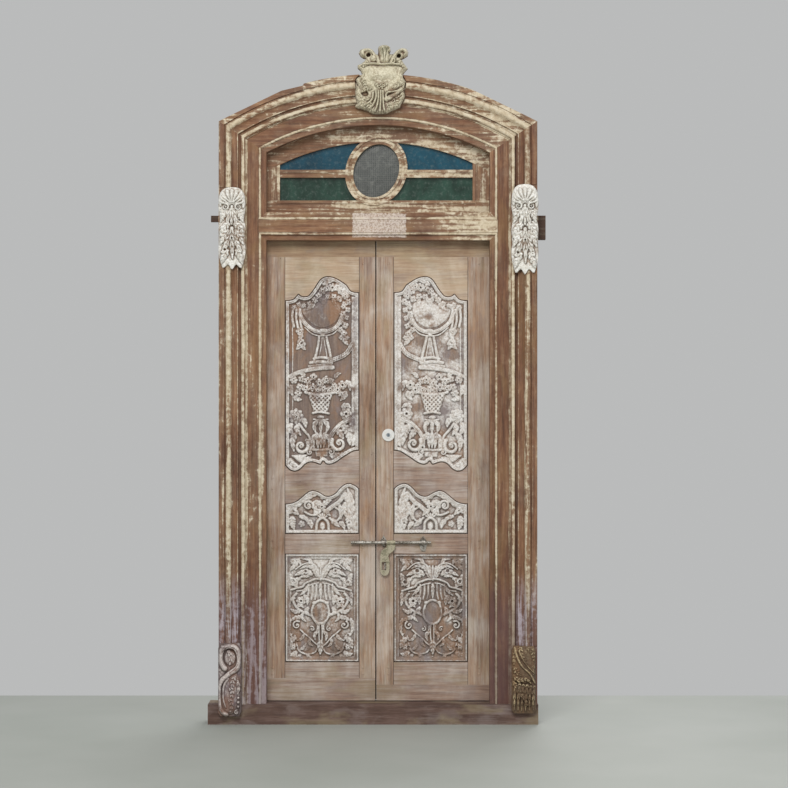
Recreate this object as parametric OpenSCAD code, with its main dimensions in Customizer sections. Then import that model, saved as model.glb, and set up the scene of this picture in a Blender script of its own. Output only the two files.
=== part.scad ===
// Carved temple door: a pair of panelled leaves under a fanlight, in a moulded frame with an arched head.
// Millimetres. X runs across the doorway, the carved side faces -Y, Z is up.
// The origin is on the underside of the sill, in the middle of the doorway.

/* [Frame] */
// Width of the doorway between the posts
opening_w = 940; // [900:1:980]
// Height of the doorway, from the sill to the transom
opening_h = 1949; // [1949:1:1949]
// Width of each moulded post
post_w = 197; // [190:1:205]
// Thickness of the frame behind its front fascia
frame_back = 70; // [65:1:75]
// Height of the sill
sill_h = 84; // [84:1:84]
// How far the sill runs out past the left post
sill_horn = 47; // [10:1:80]
// Height of the transom rail
transom_h = 117; // [117:1:117]
// Radius of the inner edge of the arched head
arch_r = 1010; // [990:1:1030]
// Width of the arched head along its radius
arch_w = 208; // [200:1:215]
// Height from the transom to the corner where the arch begins
fan_side_h = 252; // [240:1:260]
// Depth of the rebate that the leaves and the sash close into
rebate = 12; // [10:1:14]

/* [Fanlight] */
// Radius of the glass edge under the arched rail
fan_glass_r = 945; // [940:1:950]
// Left edge of the glass, from the middle of the doorway
fan_left = 416; // [400:1:425]
// Right edge of the glass, from the middle of the doorway
fan_right = 400; // [390:1:420]
// Height of the bottom rail of the sash above the transom
fan_rail_h = 55; // [45:1:60]
// Width of the horizontal glazing bars
bar_w = 33; // [28:1:36]
// Half length of the oval pane along its long axis
oval_a = 115.5; // [105:0.5:120]
// Half width of the oval pane across its short axis
oval_b = 94.5; // [85:0.5:100]
// Width of the oval ring
ring_w = 34; // [28:1:38]
// Lean of the oval ring, to the right
ring_lean = 22; // [0:1:30]

/* [Leaves] */
// Thickness of a leaf
leaf_t = 40; // [36:1:40]
// Gap between a leaf and the frame
leaf_gap = 4; // [4:0.5:5]
// Where the two leaves meet, from the middle of the doorway
meeting_x = -10; // [-12:1:-8]
// Gap between the two meeting stiles
meeting_gap = 5; // [5:0.5:6]
// Width of the panels in each leaf
panel_w = 315; // [315:1:315]
// Width of the meeting stiles, left and right
meeting_w = [67.5, 72.5];
// Height of the head boards
head_h = 75; // [70:1:80]
// Height of the kick boards, left and right
kick_h = [95, 67];
// Width of the moulding round each panel
bead_w = 15; // [10:1:18]

/* [Hardware] */
// Diameter of the slide bolt
bolt_d = 13; // [12:0.5:13]
// Height of the slide bolt above the ground
bolt_z = 758; // [750:1:766]
// Height of the lock cylinder above the ground
lock_z = 1212.5; // [1180:0.5:1240]
// Diameter of the rosette round the lock cylinder
rosette_d = 52; // [44:1:56]
// Diameter of the hinge pins
hinge_pin_d = 6; // [5:0.5:6]

/* [Hidden] */
$fn = 48;
eps = 0.01;

// Heights and radii of the frame
half_w = opening_w / 2;
outer_x = half_w + post_w;
transom_z = sill_h + opening_h;
fan_z = transom_z + transom_h;
arch_foot_z = fan_z + fan_side_h;
arch_cz = arch_foot_z - sqrt(arch_r * arch_r - half_w * half_w);
arch_outer_r = arch_r + arch_w;
corner_z = arch_cz + sqrt(arch_outer_r * arch_outer_r - outer_x * outer_x);
arch_joint_x = -99;
sill_front = 62;

// Depths, as distances towards the front (-Y)
lip_v = 36;
fascia_v = 44;
band_v = 80;
seat_v = 76;
lip_back_y = 28;
tenon_y = [-14, 24];
carving_v = 112;

// Fanlight: middle of the oval ring, middle of the bars, depths of the sash and of the panes, beds of the panes
ring_x = -8;
ring_z = 2331;
bar_z = 2318.5;
sash_y = [lip_back_y, lip_back_y + 40];
pane_y = [44, 48];
bed = 6;

// Leaf places
leaf_front = frame_back - leaf_t;
leaf_edge = half_w + rebate - leaf_gap;
leaf_z0 = sill_h + leaf_gap;
leaf_z1 = transom_z + rebate - leaf_gap;
head_z = leaf_z1 - head_h;
left_panel_x = meeting_x - meeting_gap / 2 - meeting_w[0];
right_panel_x = meeting_x + meeting_gap / 2 + meeting_w[1];
hinge_w = [left_panel_x - panel_w + leaf_edge, leaf_edge - right_panel_x - panel_w];
panel_y = 44;
panel_t = 14;
tongue = 8;
tenon_l = 40;
tenon_t = 12;
relief_y = 24;
moulding_y = 25;

// Panel heights
upper_z = [1054, 1783];
middle_z = [793, 922];
lower_z = [250, 710];

// Edges of the shaped panels: distance from the meeting side, height above the datum
upper_top = [[0, 34], [20, 36], [36, 42], [48, 59], [57, 69], [86, 88], [107, 98], [128, 102], [149, 100],
    [166, 89], [178, 73], [191, 52], [204, 34], [217, 20], [233, 17], [248, 21], [258, 28], [271, 15],
    [284, 4], [315, 0]];
upper_bottom = [[0, 92], [25, 88], [50, 74], [76, 57], [101, 40], [126, 32], [143, 36], [153, 46], [164, 32],
    [185, 38], [206, 42], [227, 34], [248, 13], [269, 3], [294, 8], [315, 29]];
middle_top = [[0, 63], [17, 78], [42, 87], [63, 82], [84, 65], [101, 46], [122, 34], [143, 34], [160, 44],
    [176, 52], [197, 57], [218, 50], [244, 29], [269, 10], [294, 2], [315, 0]];

// Outline of the crest, from its foot in the middle
crest_x = 13;
crest_z = 2550;
crest_outline = [[-88, 279], [-71, 286], [-46, 284], [-29, 267], [-16, 254], [-13, 273], [-8, 290], [4, 297],
    [17, 298], [29, 290], [39, 277], [36, 262], [55, 265], [69, 275], [84, 284], [101, 284], [115, 271],
    [113, 252], [97, 241], [84, 235], [88, 223], [105, 206], [103, 189], [92, 172], [103, 151], [105, 130],
    [101, 105], [103, 80], [97, 63], [82, 46], [67, 29], [46, 17], [21, 8], [-4, 4], [-38, 8], [-67, 19],
    [-88, 38], [-101, 57], [-109, 80], [-107, 105], [-110, 130], [-107, 155], [-92, 172], [-88, 189],
    [-99, 204], [-97, 214], [-80, 225], [-67, 239], [-82, 246], [-92, 260]];
crest_back_v = 58;
crest_v = 118;

// Hinges
hinge_x = leaf_edge + leaf_gap / 2;
hinge_y = frame_back + 6;
knuckle_r = 6;
hinge_h = 120;
hinge_zs = [250, 1060, 1870];
flap_t = 1.8;
flap_gap = 0.2;
knuckles = 5;

// Slide bolt and hasp
bolt_y = 14;
bolt_x0 = -115;
bolt_x1 = 223;
guide_xs = [23, 191];
keeper_x = -65;
guide_w = 14;
hasp_outline = [[72, 0], [72, -12], [72, -23], [63, -36], [50, -46], [43, -57], [45, -66], [48, -80], [48, -111],
    [43, -131], [30, -140], [15, -135], [9, -120], [8, -90], [9, -61], [11, -44], [19, -31], [33, -21],
    [36, -12], [36, 0]];
hasp_x0 = 36;
hasp_x1 = 72;
hasp_t = 4;
slot_x = [15, 34];
slot_z = [-116, -82];
staple_x = 29;
staple_w = 6;
staple_y = 2;
shackle_r = 3.8;
lock_x = 43;
barrel_r = 13;
latch_w = 24;
latch_y = 82;

// A smooth line through a list of points
function curve_point(a, b, c, d, t) =
    0.5 * (2 * b + (c - a) * t + (2 * a - 5 * b + 4 * c - d) * t * t + (3 * b - a - 3 * c + d) * t * t * t);
function smooth(p, n = 3) = concat(
    [for (i = [0:len(p) - 2], k = [0:n - 1])
        curve_point(p[max(i - 1, 0)], p[i], p[i + 1], p[min(i + 2, len(p) - 1)], k / n)],
    [p[len(p) - 1]]);
function smooth_ring(p, n = 3) =
    [for (i = [0:len(p) - 1], k = [0:n - 1])
        let (m = len(p)) curve_point(p[(i + m - 1) % m], p[i], p[(i + 1) % m], p[(i + 2) % m], k / n)];
function reversed(p) = [for (i = [len(p) - 1:-1:0]) p[i]];
function raised(p, z) = [for (q = p) [q[0], q[1] + z]];
function oval(a, b, n = 72) = [for (i = [0:n - 1]) [b * sin(i * 360 / n), a * cos(i * 360 / n)]];

// A flat shape drawn in X and Z, given thickness from y0 to y1
module slab(y0, y1) {
    translate([0, y1, 0]) rotate([90, 0, 0]) linear_extrude(y1 - y0) children();
}

// A block between two corners
module block(a, b) {
    translate(a) cube(b - a);
}

// A round bar along X or along Y
module bar_x(x0, x1, y, z, r) {
    translate([x0, y, z]) rotate([0, 90, 0]) cylinder(r = r, h = x1 - x0);
}
module bar_y(y0, y1, x, z, r) {
    translate([x, y1, z]) rotate([90, 0, 0]) cylinder(r = r, h = y1 - y0);
}

// Moulded section of the frame: distance out from the opening, stretched by k, and distance to the front
module frame_section(k) {
    difference() {
        polygon([[0, -frame_back], [0, lip_v], [22 * k, lip_v], [22 * k, fascia_v - 6], [32 * k, fascia_v - 6],
            [32 * k, fascia_v], [80 * k, fascia_v], [82 * k, 50], [116 * k, 50], [116 * k, 64], [120 * k, 64],
            [120 * k, 78], [170 * k, 78], [170 * k, 73], [174 * k, 73], [174 * k, band_v], [193 * k, band_v],
            [197 * k, 76], [197 * k, -frame_back]]);
        translate([125 * k, 88]) circle(r = 24);
    }
    translate([27 * k, fascia_v - 4]) circle(r = 5.5);
    translate([96 * k, 56]) circle(r = 10);
    translate([157 * k, 74]) circle(r = 12);
}

// Everything on the right that lies below the mitre at the head of the post
module mitre_side() {
    run = post_w;
    rise = corner_z - arch_foot_z;
    slab(-200, 200)
        polygon([[0, 0], [half_w - run, arch_foot_z - rise], [outer_x + run, corner_z + rise], [outer_x + run, 0]]);
}

// Half of the transom as seen from the front, with its mitred ends
module transom_face() {
    lap = 32;
    polygon([[-half_w, transom_z], [half_w, transom_z], [half_w + lap, transom_z + lap],
        [half_w + lap, fan_z - lap], [half_w, fan_z], [-half_w, fan_z], [-half_w - lap, fan_z - lap],
        [-half_w - lap, transom_z + lap]]);
}

// Where the carved pieces are bedded on a post
module carving_seat(z0, z1) {
    block([half_w + 88, -150, z0], [outer_x + 20, -seat_v, z1]);
}

// A right-hand post; the left one is its mirror image
module post(capital_z, console_top) {
    difference() {
        intersection() {
            translate([half_w, 0, sill_h]) linear_extrude(corner_z) mirror([0, 1]) frame_section(1);
            mitre_side();
        }
        // Rebates for the leaf and for the sash
        block([half_w - 1, lip_back_y, sill_h - 1], [half_w + rebate, 100, transom_z + rebate]);
        block([half_w - 1, lip_back_y, fan_z - rebate], [half_w + rebate, 100, corner_z]);
        // Lap and mortise for the transom
        slab(-150, 0) transom_face();
        block([half_w - 1, tenon_y[0], transom_z + 4], [outer_x + 1, tenon_y[1], fan_z - rebate]);
        carving_seat(capital_z[0], capital_z[1]);
        carving_seat(sill_h - 1, console_top);
    }
    // Stub tenon in the sill
    block([half_w + 60, -20, sill_h - 40], [half_w + 150, 20, sill_h + eps]);
}
module left_post() { color("sienna") mirror([1, 0, 0]) post([1907, 2251], 344); }
module right_post() { color("sienna") post([1886, 2264], 332); }

module sill() {
    color("saddlebrown") difference() {
        block([-outer_x - sill_horn, -sill_front, 0], [outer_x + 5, frame_back, sill_h]);
        for (s = [-1, 1]) {
            block([s * (half_w + 105) - 45, -20, sill_h - 40], [s * (half_w + 105) + 45, 20, sill_h + 1]);
        }
    }
}

// Half of the arched head, cut to the mitre at its foot and to the joint under the crest
module arch_half(side) {
    difference() {
        intersection() {
            translate([0, 0, arch_cz]) rotate([90, 0, 0]) rotate([0, 0, side > 0 ? 48 : 80])
                rotate_extrude(angle = 52, $fn = 180) translate([arch_r, 0]) frame_section(arch_w / post_w);
            slab(-200, 200)
                polygon(side > 0
                    ? [[arch_joint_x, 0], [arch_joint_x, 4000], [1200, 4000], [1200, 0]]
                    : [[-1200, 0], [-1200, 4000], [arch_joint_x, 4000], [arch_joint_x, 0]]);
        }
        mirror([side > 0 ? 0 : 1, 0, 0]) mitre_side();
        // Rebate for the sash
        translate([0, 0, arch_cz]) rotate([90, 0, 0]) translate([0, 0, -100])
            difference() {
                cylinder(r = arch_r + rebate, h = 100 - lip_back_y, $fn = 180);
                translate([0, 0, -1]) cylinder(r = arch_r - 60, h = 102, $fn = 180);
            }
        // Straight cut of the outer edge down to the corner
        slab(-200, 200)
            mirror([side > 0 ? 0 : 1, 0])
                polygon([[outer_x + 1, corner_z], [390, 2662], [390, 2900], [900, 2900], [900, corner_z]]);
        // Chip lost from the top edge of the left half
        if (side < 0) slab(-200, 200) polygon([[-400, 2656], [-316, 2676], [-308, 2688], [-400, 2750]]);
        slab(-200, -crest_back_v) crest_shape();
    }
}
module left_arch() { color("sienna") arch_half(-1); }
module right_arch() { color("sienna") arch_half(1); }

// Transom, seen from its end: height and distance to the front
module transom_section() {
    polygon([[0, -lip_back_y], [0, lip_v], [22, lip_v], [22, fascia_v - 6], [32, fascia_v - 6], [32, 48],
        [transom_h - 32, 48], [transom_h - 32, fascia_v - 6], [transom_h - 22, fascia_v - 6],
        [transom_h - 22, lip_v], [transom_h, lip_v], [transom_h, -lip_back_y], [transom_h - rebate, -lip_back_y],
        [transom_h - rebate, -frame_back], [rebate, -frame_back], [rebate, -lip_back_y]]);
    for (z = [27, transom_h - 27]) translate([z, fascia_v - 4]) circle(r = 6);
}
module transom_rail() {
    length = opening_w + 64;
    color("sienna") {
        intersection() {
            translate([-length / 2, 0, transom_z]) rotate([0, -90, 0]) mirror([0, 0, 1]) linear_extrude(length)
                mirror([0, 1]) transom_section();
            union() {
                slab(-150, 0) transom_face();
                block([-half_w, -150, transom_z], [half_w, 150, fan_z]);
            }
        }
        // Through tenons: the right horn is whole, the left one has split down to a sliver
        block([half_w - 1, tenon_y[0], transom_z + 4], [outer_x + 39, tenon_y[1], fan_z - rebate]);
        block([-outer_x, tenon_y[0], transom_z + 4], [-half_w + 1, tenon_y[1], fan_z - rebate]);
        block([-outer_x - 38, tenon_y[0] + 6, fan_z - rebate - 26], [-outer_x + 1, tenon_y[1] - 8, fan_z - rebate]);
    }
}

module crest_shape() {
    translate([crest_x, crest_z]) polygon(smooth_ring(crest_outline));
}
module crest() {
    color("beige") difference() {
        union() {
            slab(-100, -crest_back_v) crest_shape();
            slab(-crest_v, -99) intersection() {
                crest_shape();
                translate([crest_x, crest_z + 120]) circle(r = 88);
            }
        }
        bar_y(-150, 0, crest_x - 53, crest_z + 253, 9);
        bar_y(-150, 0, crest_x + 74, crest_z + 250, 9);
    }
}

// Acanthus block at the head of a post
module capital(x0, x1, z0, z1) {
    w = x1 - x0;
    h = z1 - z0;
    leaf = [[0.5, 1], [0.2, 0.98], [0.03, 0.9], [0, 0.75], [0.05, 0.62], [0, 0.5], [0.02, 0.35], [0, 0.2],
        [0.15, 0.02], [0.35, 0.06], [0.5, 0], [0.65, 0.06], [0.85, 0.02], [1, 0.2], [0.98, 0.35], [1, 0.5],
        [0.95, 0.62], [1, 0.75], [0.97, 0.9], [0.8, 0.98]];
    translate([x0, 0, z0]) {
        slab(-96, -seat_v) polygon(smooth_ring([for (p = leaf) [p[0] * w, p[1] * h]]));
        slab(-carving_v, -95) polygon(smooth_ring([for (p = leaf) [(0.2 + p[0] * 0.6) * w, (0.1 + p[1] * 0.8) * h]]));
    }
}
module left_capital() { color("white") capital(-667, -554, 1907, 2251); }
module right_capital() { color("white") capital(558, 671, 1886, 2264); }

// Scrolled console that stands in front of the sill and the foot of a post
module base_console(x0, x1, z0, z1) {
    r = (x1 - x0) / 2;
    xm = (x0 + x1) / 2;
    slab(-98, -seat_v) polygon([[x0 + 6, z0], [x0, z0 + 60], [x0 + 4, z1 - r], [x1 - 4, z1 - r], [x1, z0 + 60],
        [x1 - 6, z0]]);
    bar_y(-carving_v, -seat_v, xm, z1 - r, r);
    block([x0 + 5, -carving_v, z0 + 10], [x1 - 5, -97, z0 + 70]);
    block([x0 + 8, -seat_v - eps, z0], [x1 - 8, -sill_front, sill_h]);
}
module left_base_console() { color("rosybrown") base_console(-668, -572, 38, 344); }
module right_base_console() { color("peru") base_console(559, 660, 50, 332); }

// Outlines of the fanlight, grown by g all round
module sash_area() {
    intersection() {
        translate([0, arch_cz]) circle(r = arch_r + rebate, $fn = 180);
        translate([-half_w - rebate, fan_z - rebate]) square([opening_w + 2 * rebate, 700]);
    }
}
module glass_area(g) {
    intersection() {
        translate([0, arch_cz]) circle(r = fan_glass_r + g, $fn = 180);
        translate([-fan_left - g, fan_z + fan_rail_h - g]) square([fan_left + fan_right + 2 * g, 700]);
    }
}
module ring_area(g) {
    translate([ring_x, ring_z]) rotate(-ring_lean) polygon(oval(oval_a + ring_w + g, oval_b + ring_w + g));
}
module oval_area(g) {
    translate([ring_x, ring_z]) rotate(-ring_lean) polygon(oval(oval_a + g, oval_b + g));
}
module bars_area(g) {
    translate([-600, bar_z - bar_w / 2 - g]) square([1200, bar_w + 2 * g]);
}

// A sash member: its area, less the glass, with a bed for the panes cut from the back
module sash_member() {
    difference() {
        slab(sash_y[0], sash_y[1]) difference() {
            children();
            glass_area(0);
        }
        slab(pane_y[0], 100) glass_area(bed);
    }
    // Bead along the edge of the glass
    slab(sash_y[0] - 5, sash_y[0] + eps) intersection() {
        children();
        difference() {
            glass_area(13);
            glass_area(0);
        }
    }
}
module arch_band() {
    difference() {
        sash_area();
        translate([0, arch_cz]) circle(r = fan_glass_r, $fn = 180);
    }
}
module stile_strip(x0, x1) {
    difference() {
        translate([x0, fan_z + fan_rail_h]) square([x1 - x0, 400]);
        arch_band();
    }
}
module fan_arched_rail() {
    color("peru") difference() {
        sash_member() arch_band();
        slab(0, 100) ring_area(0);
    }
}
module fan_bottom_rail() {
    color("peru") difference() {
        sash_member() translate([-half_w - rebate, fan_z - rebate]) square([opening_w + 2 * rebate, fan_rail_h + rebate]);
        slab(0, 100) ring_area(0);
    }
}
module fan_left_stile() {
    color("peru") sash_member() intersection() {
        sash_area();
        stile_strip(-half_w - rebate, -fan_left);
    }
}
module fan_right_stile() {
    color("peru") sash_member() intersection() {
        sash_area();
        stile_strip(fan_right, half_w + rebate);
    }
}
module fan_oval_ring() {
    color("wheat") {
        difference() {
            slab(sash_y[0], sash_y[1]) difference() {
                ring_area(0);
                oval_area(0);
            }
            slab(pane_y[0], 100) difference() {
                intersection() {
                    ring_area(1);
                    glass_area(bed);
                }
                ring_area(-bed);
            }
            slab(pane_y[0], 100) oval_area(bed);
        }
        slab(sash_y[0] - 6, sash_y[0] + eps) difference() {
            ring_area(0);
            ring_area(-10);
        }
        slab(sash_y[0] - 6, sash_y[0] + eps) difference() {
            oval_area(10);
            oval_area(0);
        }
    }
}
module bar_strip(g) {
    difference() {
        intersection() {
            bars_area(g);
            glass_area(0);
        }
        ring_area(0);
    }
}
module fan_bars() {
    color("wheat") {
        slab(sash_y[0], pane_y[0]) bar_strip(0);
        slab(pane_y[0] - eps, sash_y[1]) bar_strip(-bed);
        slab(sash_y[0] - 5, sash_y[0] + eps) difference() {
            bar_strip(0);
            bars_area(-12);
        }
    }
}
module panes(upper) {
    slab(pane_y[0], pane_y[1]) difference() {
        intersection() {
            glass_area(bed);
            translate([-600, upper ? bar_z : 0]) square([1200, upper ? 900 : bar_z]);
        }
        ring_area(-bed);
        bars_area(-bed);
    }
}
module blue_panes() { color("steelblue") panes(true); }
module green_panes() { color("darkslategray") panes(false); }
module oval_pane() { color("gray") slab(pane_y[0], pane_y[1]) oval_area(bed); }

// Draws a leaf's own pieces: X runs from the meeting side of its panels towards its hinges
module on_leaf(side) {
    translate([side < 0 ? left_panel_x : right_panel_x, 0, 0]) mirror([side < 0 ? 1 : 0, 0, 0]) children();
}
function leaf_pick(side, pair) = side < 0 ? pair[0] : pair[1];

// Outlines of the openings for the panels, grown by g
module upper_area(g) {
    polygon(concat(
        [for (p = smooth(upper_bottom)) [p[0] * (panel_w + 2 * g) / panel_w - g, p[1] + upper_z[0] - g]],
        [for (p = reversed(smooth(upper_top))) [p[0] * (panel_w + 2 * g) / panel_w - g, p[1] + upper_z[1] + g]]));
}
module middle_area(g) {
    polygon(concat([[-g, middle_z[0] - g], [panel_w + g, middle_z[0] - g]],
        [for (p = reversed(smooth(middle_top))) [p[0] * (panel_w + 2 * g) / panel_w - g, p[1] + middle_z[1] + g]]));
}
module lower_area(g) {
    translate([-g, lower_z[0] - g]) square([panel_w + 2 * g, lower_z[1] - lower_z[0] + 2 * g]);
}

// Stub tenons of the rails, between z0 and z1
module rail_tenons(z0, z1) {
    for (x = [-tenon_l, panel_w - eps]) {
        block([x, leaf_front + 6, z0], [x + tenon_l + eps, leaf_front + 6 + tenon_t, z1]);
    }
}
module all_tenons(side) {
    kick = leaf_z0 + leaf_pick(side, kick_h);
    rail_tenons(1830, head_z - 10);
    rail_tenons(1010, 1060);
    rail_tenons(middle_z[0] - 65, middle_z[0] - 15);
    rail_tenons(kick + 8, lower_z[0] - 8);
}
// Grooves that hold the tongues of the panels
module panel_tongues() {
    slab(panel_y, panel_y + panel_t) {
        upper_area(tongue);
        middle_area(tongue);
        lower_area(tongue);
    }
}
module stile(side, x0, x1) {
    z0 = leaf_z0 + leaf_pick(side, kick_h);
    difference() {
        block([x0, leaf_front, z0], [x1, frame_back, head_z]);
        all_tenons(side);
        panel_tongues();
    }
    for (z = [z0 - 30, head_z - eps]) {
        block([x0 + 20, leaf_front + 14, z], [x1 - 20, leaf_front + 26, z + 30 + eps]);
    }
}
module stile_sockets(side, z0) {
    for (x = [[-leaf_pick(side, meeting_w), 0], [panel_w, panel_w + leaf_pick(side, hinge_w)]]) {
        block([x[0] + 20, leaf_front + 14, z0], [x[1] - 20, leaf_front + 26, z0 + 30]);
    }
}
module rail(z0, z1) {
    difference() {
        slab(leaf_front, frame_back) children();
        panel_tongues();
    }
    rail_tenons(z0, z1);
}
module hinge_stile(side) { on_leaf(side) stile(side, panel_w, panel_w + leaf_pick(side, hinge_w)); }
module meeting_stile(side) {
    difference() {
        on_leaf(side) stile(side, -leaf_pick(side, meeting_w), 0);
        if (side > 0) bar_y(0, 100, lock_x, lock_z, barrel_r);
    }
}
module wide_board(side, z0, z1, socket_z) {
    on_leaf(side) difference() {
        block([-leaf_pick(side, meeting_w), leaf_front, z0],
            [panel_w + leaf_pick(side, hinge_w), frame_back, z1]);
        stile_sockets(side, socket_z);
    }
}
module head_board(side) { wide_board(side, head_z, leaf_z1, head_z); }
module kick_board(side) {
    z1 = leaf_z0 + leaf_pick(side, kick_h);
    wide_board(side, leaf_z0, z1, z1 - 30);
}
module top_rail(side) {
    on_leaf(side) rail(1830, head_z - 10)
        polygon(concat(raised(smooth(upper_top), upper_z[1]), [[panel_w, head_z], [0, head_z]]));
}
module lock_rail(side) {
    on_leaf(side) rail(1010, 1060)
        polygon(concat(raised(smooth(upper_bottom), upper_z[0]), raised(reversed(smooth(middle_top)), middle_z[1])));
}
module middle_rail(side) {
    on_leaf(side) rail(middle_z[0] - 65, middle_z[0] - 15)
        translate([0, lower_z[1]]) square([panel_w, middle_z[0] - lower_z[1]]);
}
module bottom_rail(side) {
    kick = leaf_z0 + leaf_pick(side, kick_h);
    on_leaf(side) rail(kick + 8, lower_z[0] - 8) translate([0, kick]) square([panel_w, lower_z[0] - kick]);
}

// Medallion, basket of flowers on a husk, and two scrolls
module upper_masses() {
    translate([150, 1735]) polygon(oval(72, 92));
    polygon([[95, 1390], [220, 1390], [190, 1290], [125, 1290]]);
    translate([157, 1430]) polygon(oval(48, 92));
    polygon([[135, 1290], [180, 1290], [200, 1160], [115, 1160]]);
    translate([70, 1190]) circle(r = 36);
    translate([245, 1190]) circle(r = 36);
}

// Carved panels: the field with its tongue, and the raised masses of the carving
module upper_panel(side) {
    on_leaf(side) {
        slab(panel_y, panel_y + panel_t) upper_area(tongue);
        slab(relief_y, panel_y + eps) intersection() {
            upper_area(-bead_w - 1);
            upper_masses();
        }
    }
}
module middle_panel(side) {
    on_leaf(side) {
        slab(panel_y, panel_y + panel_t) middle_area(tongue);
        slab(relief_y, panel_y + eps) {
            translate([150, 880]) circle(r = 28);
            translate([75, 905]) polygon(oval(36, 44));
            translate([225, 885]) polygon(oval(34, 48));
        }
    }
}
module lower_panel(side) {
    on_leaf(side) {
        slab(panel_y, panel_y + panel_t) lower_area(tongue);
        slab(relief_y, panel_y + eps) {
            translate([157, 480]) polygon(oval(66, 48));
            translate([157, 640]) polygon(oval(40, 40));
            for (x = [70, 245], z = [340, 600]) translate([x, z]) circle(r = 38);
        }
    }
}
module panel_mouldings(side) {
    difference() {
        on_leaf(side) slab(moulding_y, panel_y) {
            difference() {
                upper_area(0);
                upper_area(-bead_w);
            }
            difference() {
                middle_area(0);
                middle_area(-bead_w);
            }
            difference() {
                lower_area(0);
                lower_area(-bead_w);
            }
        }
        // Notch for the rosette of the lock
        if (side > 0) bar_y(0, leaf_front + 1, lock_x, lock_z, rosette_d / 2 + 0.5);
    }
}

// Butt hinges: three to a leaf, five knuckles each, the first, third and fifth on the frame
module hinge_side(side) {
    translate([side * hinge_x, 0, 0]) mirror([side > 0 ? 1 : 0, 0, 0]) children();
}
module hinge_set(first, flap_x) {
    pitch = hinge_h / knuckles;
    for (z = hinge_zs) {
        block([flap_x, leaf_front + 4, z], [flap_x + flap_t, frame_back - 0.6, z + hinge_h]);
        for (i = [first:2:knuckles - 1]) {
            translate([0, hinge_y, z + i * pitch + 0.3]) difference() {
                union() {
                    cylinder(r = knuckle_r, h = pitch - 0.6);
                    block([flap_x, frame_back - 0.7 - hinge_y, 0], [flap_x + flap_t, 0, pitch - 0.6]);
                }
                translate([0, 0, -1]) cylinder(d = hinge_pin_d + 0.15, h = pitch + 2);
            }
        }
    }
}
module hinge_frame_flaps() {
    color("dimgray") for (s = [-1, 1]) hinge_side(s) hinge_set(0, -flap_t - flap_gap);
}
module hinge_pins() {
    color("gray") for (s = [-1, 1], z = hinge_zs) {
        translate([s * hinge_x, hinge_y, z - 2]) cylinder(d = hinge_pin_d, h = hinge_h + 4);
        for (end = [z - 6, z + hinge_h + 0.5]) {
            translate([s * hinge_x, hinge_y, end]) cylinder(r = 5, h = 5.5);
        }
    }
}
module left_hinge_flaps() { color("dimgray") hinge_side(-1) hinge_set(1, flap_gap); }
module right_hinge_flaps() { color("dimgray") hinge_side(1) hinge_set(1, flap_gap); }

// Slide bolt: staples, rod, and the hasp that drops over the padlock staple
module bolt_loop(x, w, r) {
    difference() {
        union() {
            bar_x(x - w / 2, x + w / 2, bolt_y, bolt_z, r);
            block([x - w / 2, bolt_y, bolt_z - r], [x + w / 2, leaf_front, bolt_z + r]);
        }
        bar_x(x - w, x + w, bolt_y, bolt_z, bolt_d / 2 + 0.6);
    }
}
module bolt_keeper() { color("silver") bolt_loop(keeper_x, 8, 9.5); }
module bolt_guides() {
    color("silver") {
        for (x = guide_xs) bolt_loop(x, guide_w, 11);
        difference() {
            slab(leaf_front - 4, leaf_front) {
                translate([guide_xs[0], bolt_z + 4]) polygon([[-15, 0], [0, 26], [15, 0], [0, -26]]);
                translate([guide_xs[1], bolt_z]) polygon([[-22, 0], [0, 27], [19, 0], [8, -38], [-8, -38]]);
            }
            for (x = guide_xs) bar_x(x - 30, x + 30, bolt_y, bolt_z, bolt_d / 2 + 0.6);
        }
    }
}
module bolt_rod() { color("silver") bar_x(bolt_x0, bolt_x1, bolt_y, bolt_z, bolt_d / 2); }
module hasp() {
    color("silver") difference() {
        union() {
            slab(bolt_y - hasp_t / 2, bolt_y + hasp_t / 2) translate([0, bolt_z]) polygon(smooth_ring(hasp_outline));
            bar_x(hasp_x0, hasp_x1, bolt_y, bolt_z, 9.5);
        }
        bar_x(0, 100, bolt_y, bolt_z, bolt_d / 2 + 0.3);
        block([slot_x[0], 0, bolt_z + slot_z[0]], [slot_x[1], 30, bolt_z + slot_z[1]]);
    }
}
module padlock_staple() {
    z = bolt_z - 99;
    color("silver") difference() {
        block([staple_x - staple_w / 2, staple_y, z - 13], [staple_x + staple_w / 2, leaf_front, z + 13]);
        bar_x(staple_x - staple_w, staple_x + staple_w, staple_y + 5.6, z, shackle_r);
    }
}

// Lock: cylinder with its rosette, plug, case on the back, bolt, and strike on the other leaf
module lock_cylinder() {
    color("lightgray") difference() {
        union() {
            bar_y(leaf_front - 6, leaf_front, lock_x, lock_z, rosette_d / 2);
            bar_y(leaf_front - 9, frame_back, lock_x, lock_z, barrel_r);
        }
        bar_y(0, 100, lock_x, lock_z, 8.3);
    }
}
module lock_plug() {
    color("gainsboro") difference() {
        bar_y(leaf_front - 10, latch_y - 7, lock_x, lock_z, 8);
        block([lock_x - 1.2, 0, lock_z - 6], [lock_x + 1.2, leaf_front + 10, lock_z + 5]);
    }
}
module latch_case() {
    color("gray") difference() {
        block([meeting_x + 5, frame_back, lock_z - 32], [75, 98, lock_z + 32]);
        block([meeting_x + 4, latch_y - 6, lock_z - latch_w / 2 - 0.5], [60, latch_y + 6, lock_z + latch_w / 2 + 0.5]);
        bar_y(frame_back - 1, latch_y, lock_x, lock_z, 8.6);
    }
}
module latch_bolt() {
    color("silver") block([meeting_x + 5, latch_y - 5.5, lock_z - latch_w / 2],
        [35, latch_y + 5.5, lock_z + latch_w / 2]);
}
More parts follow.
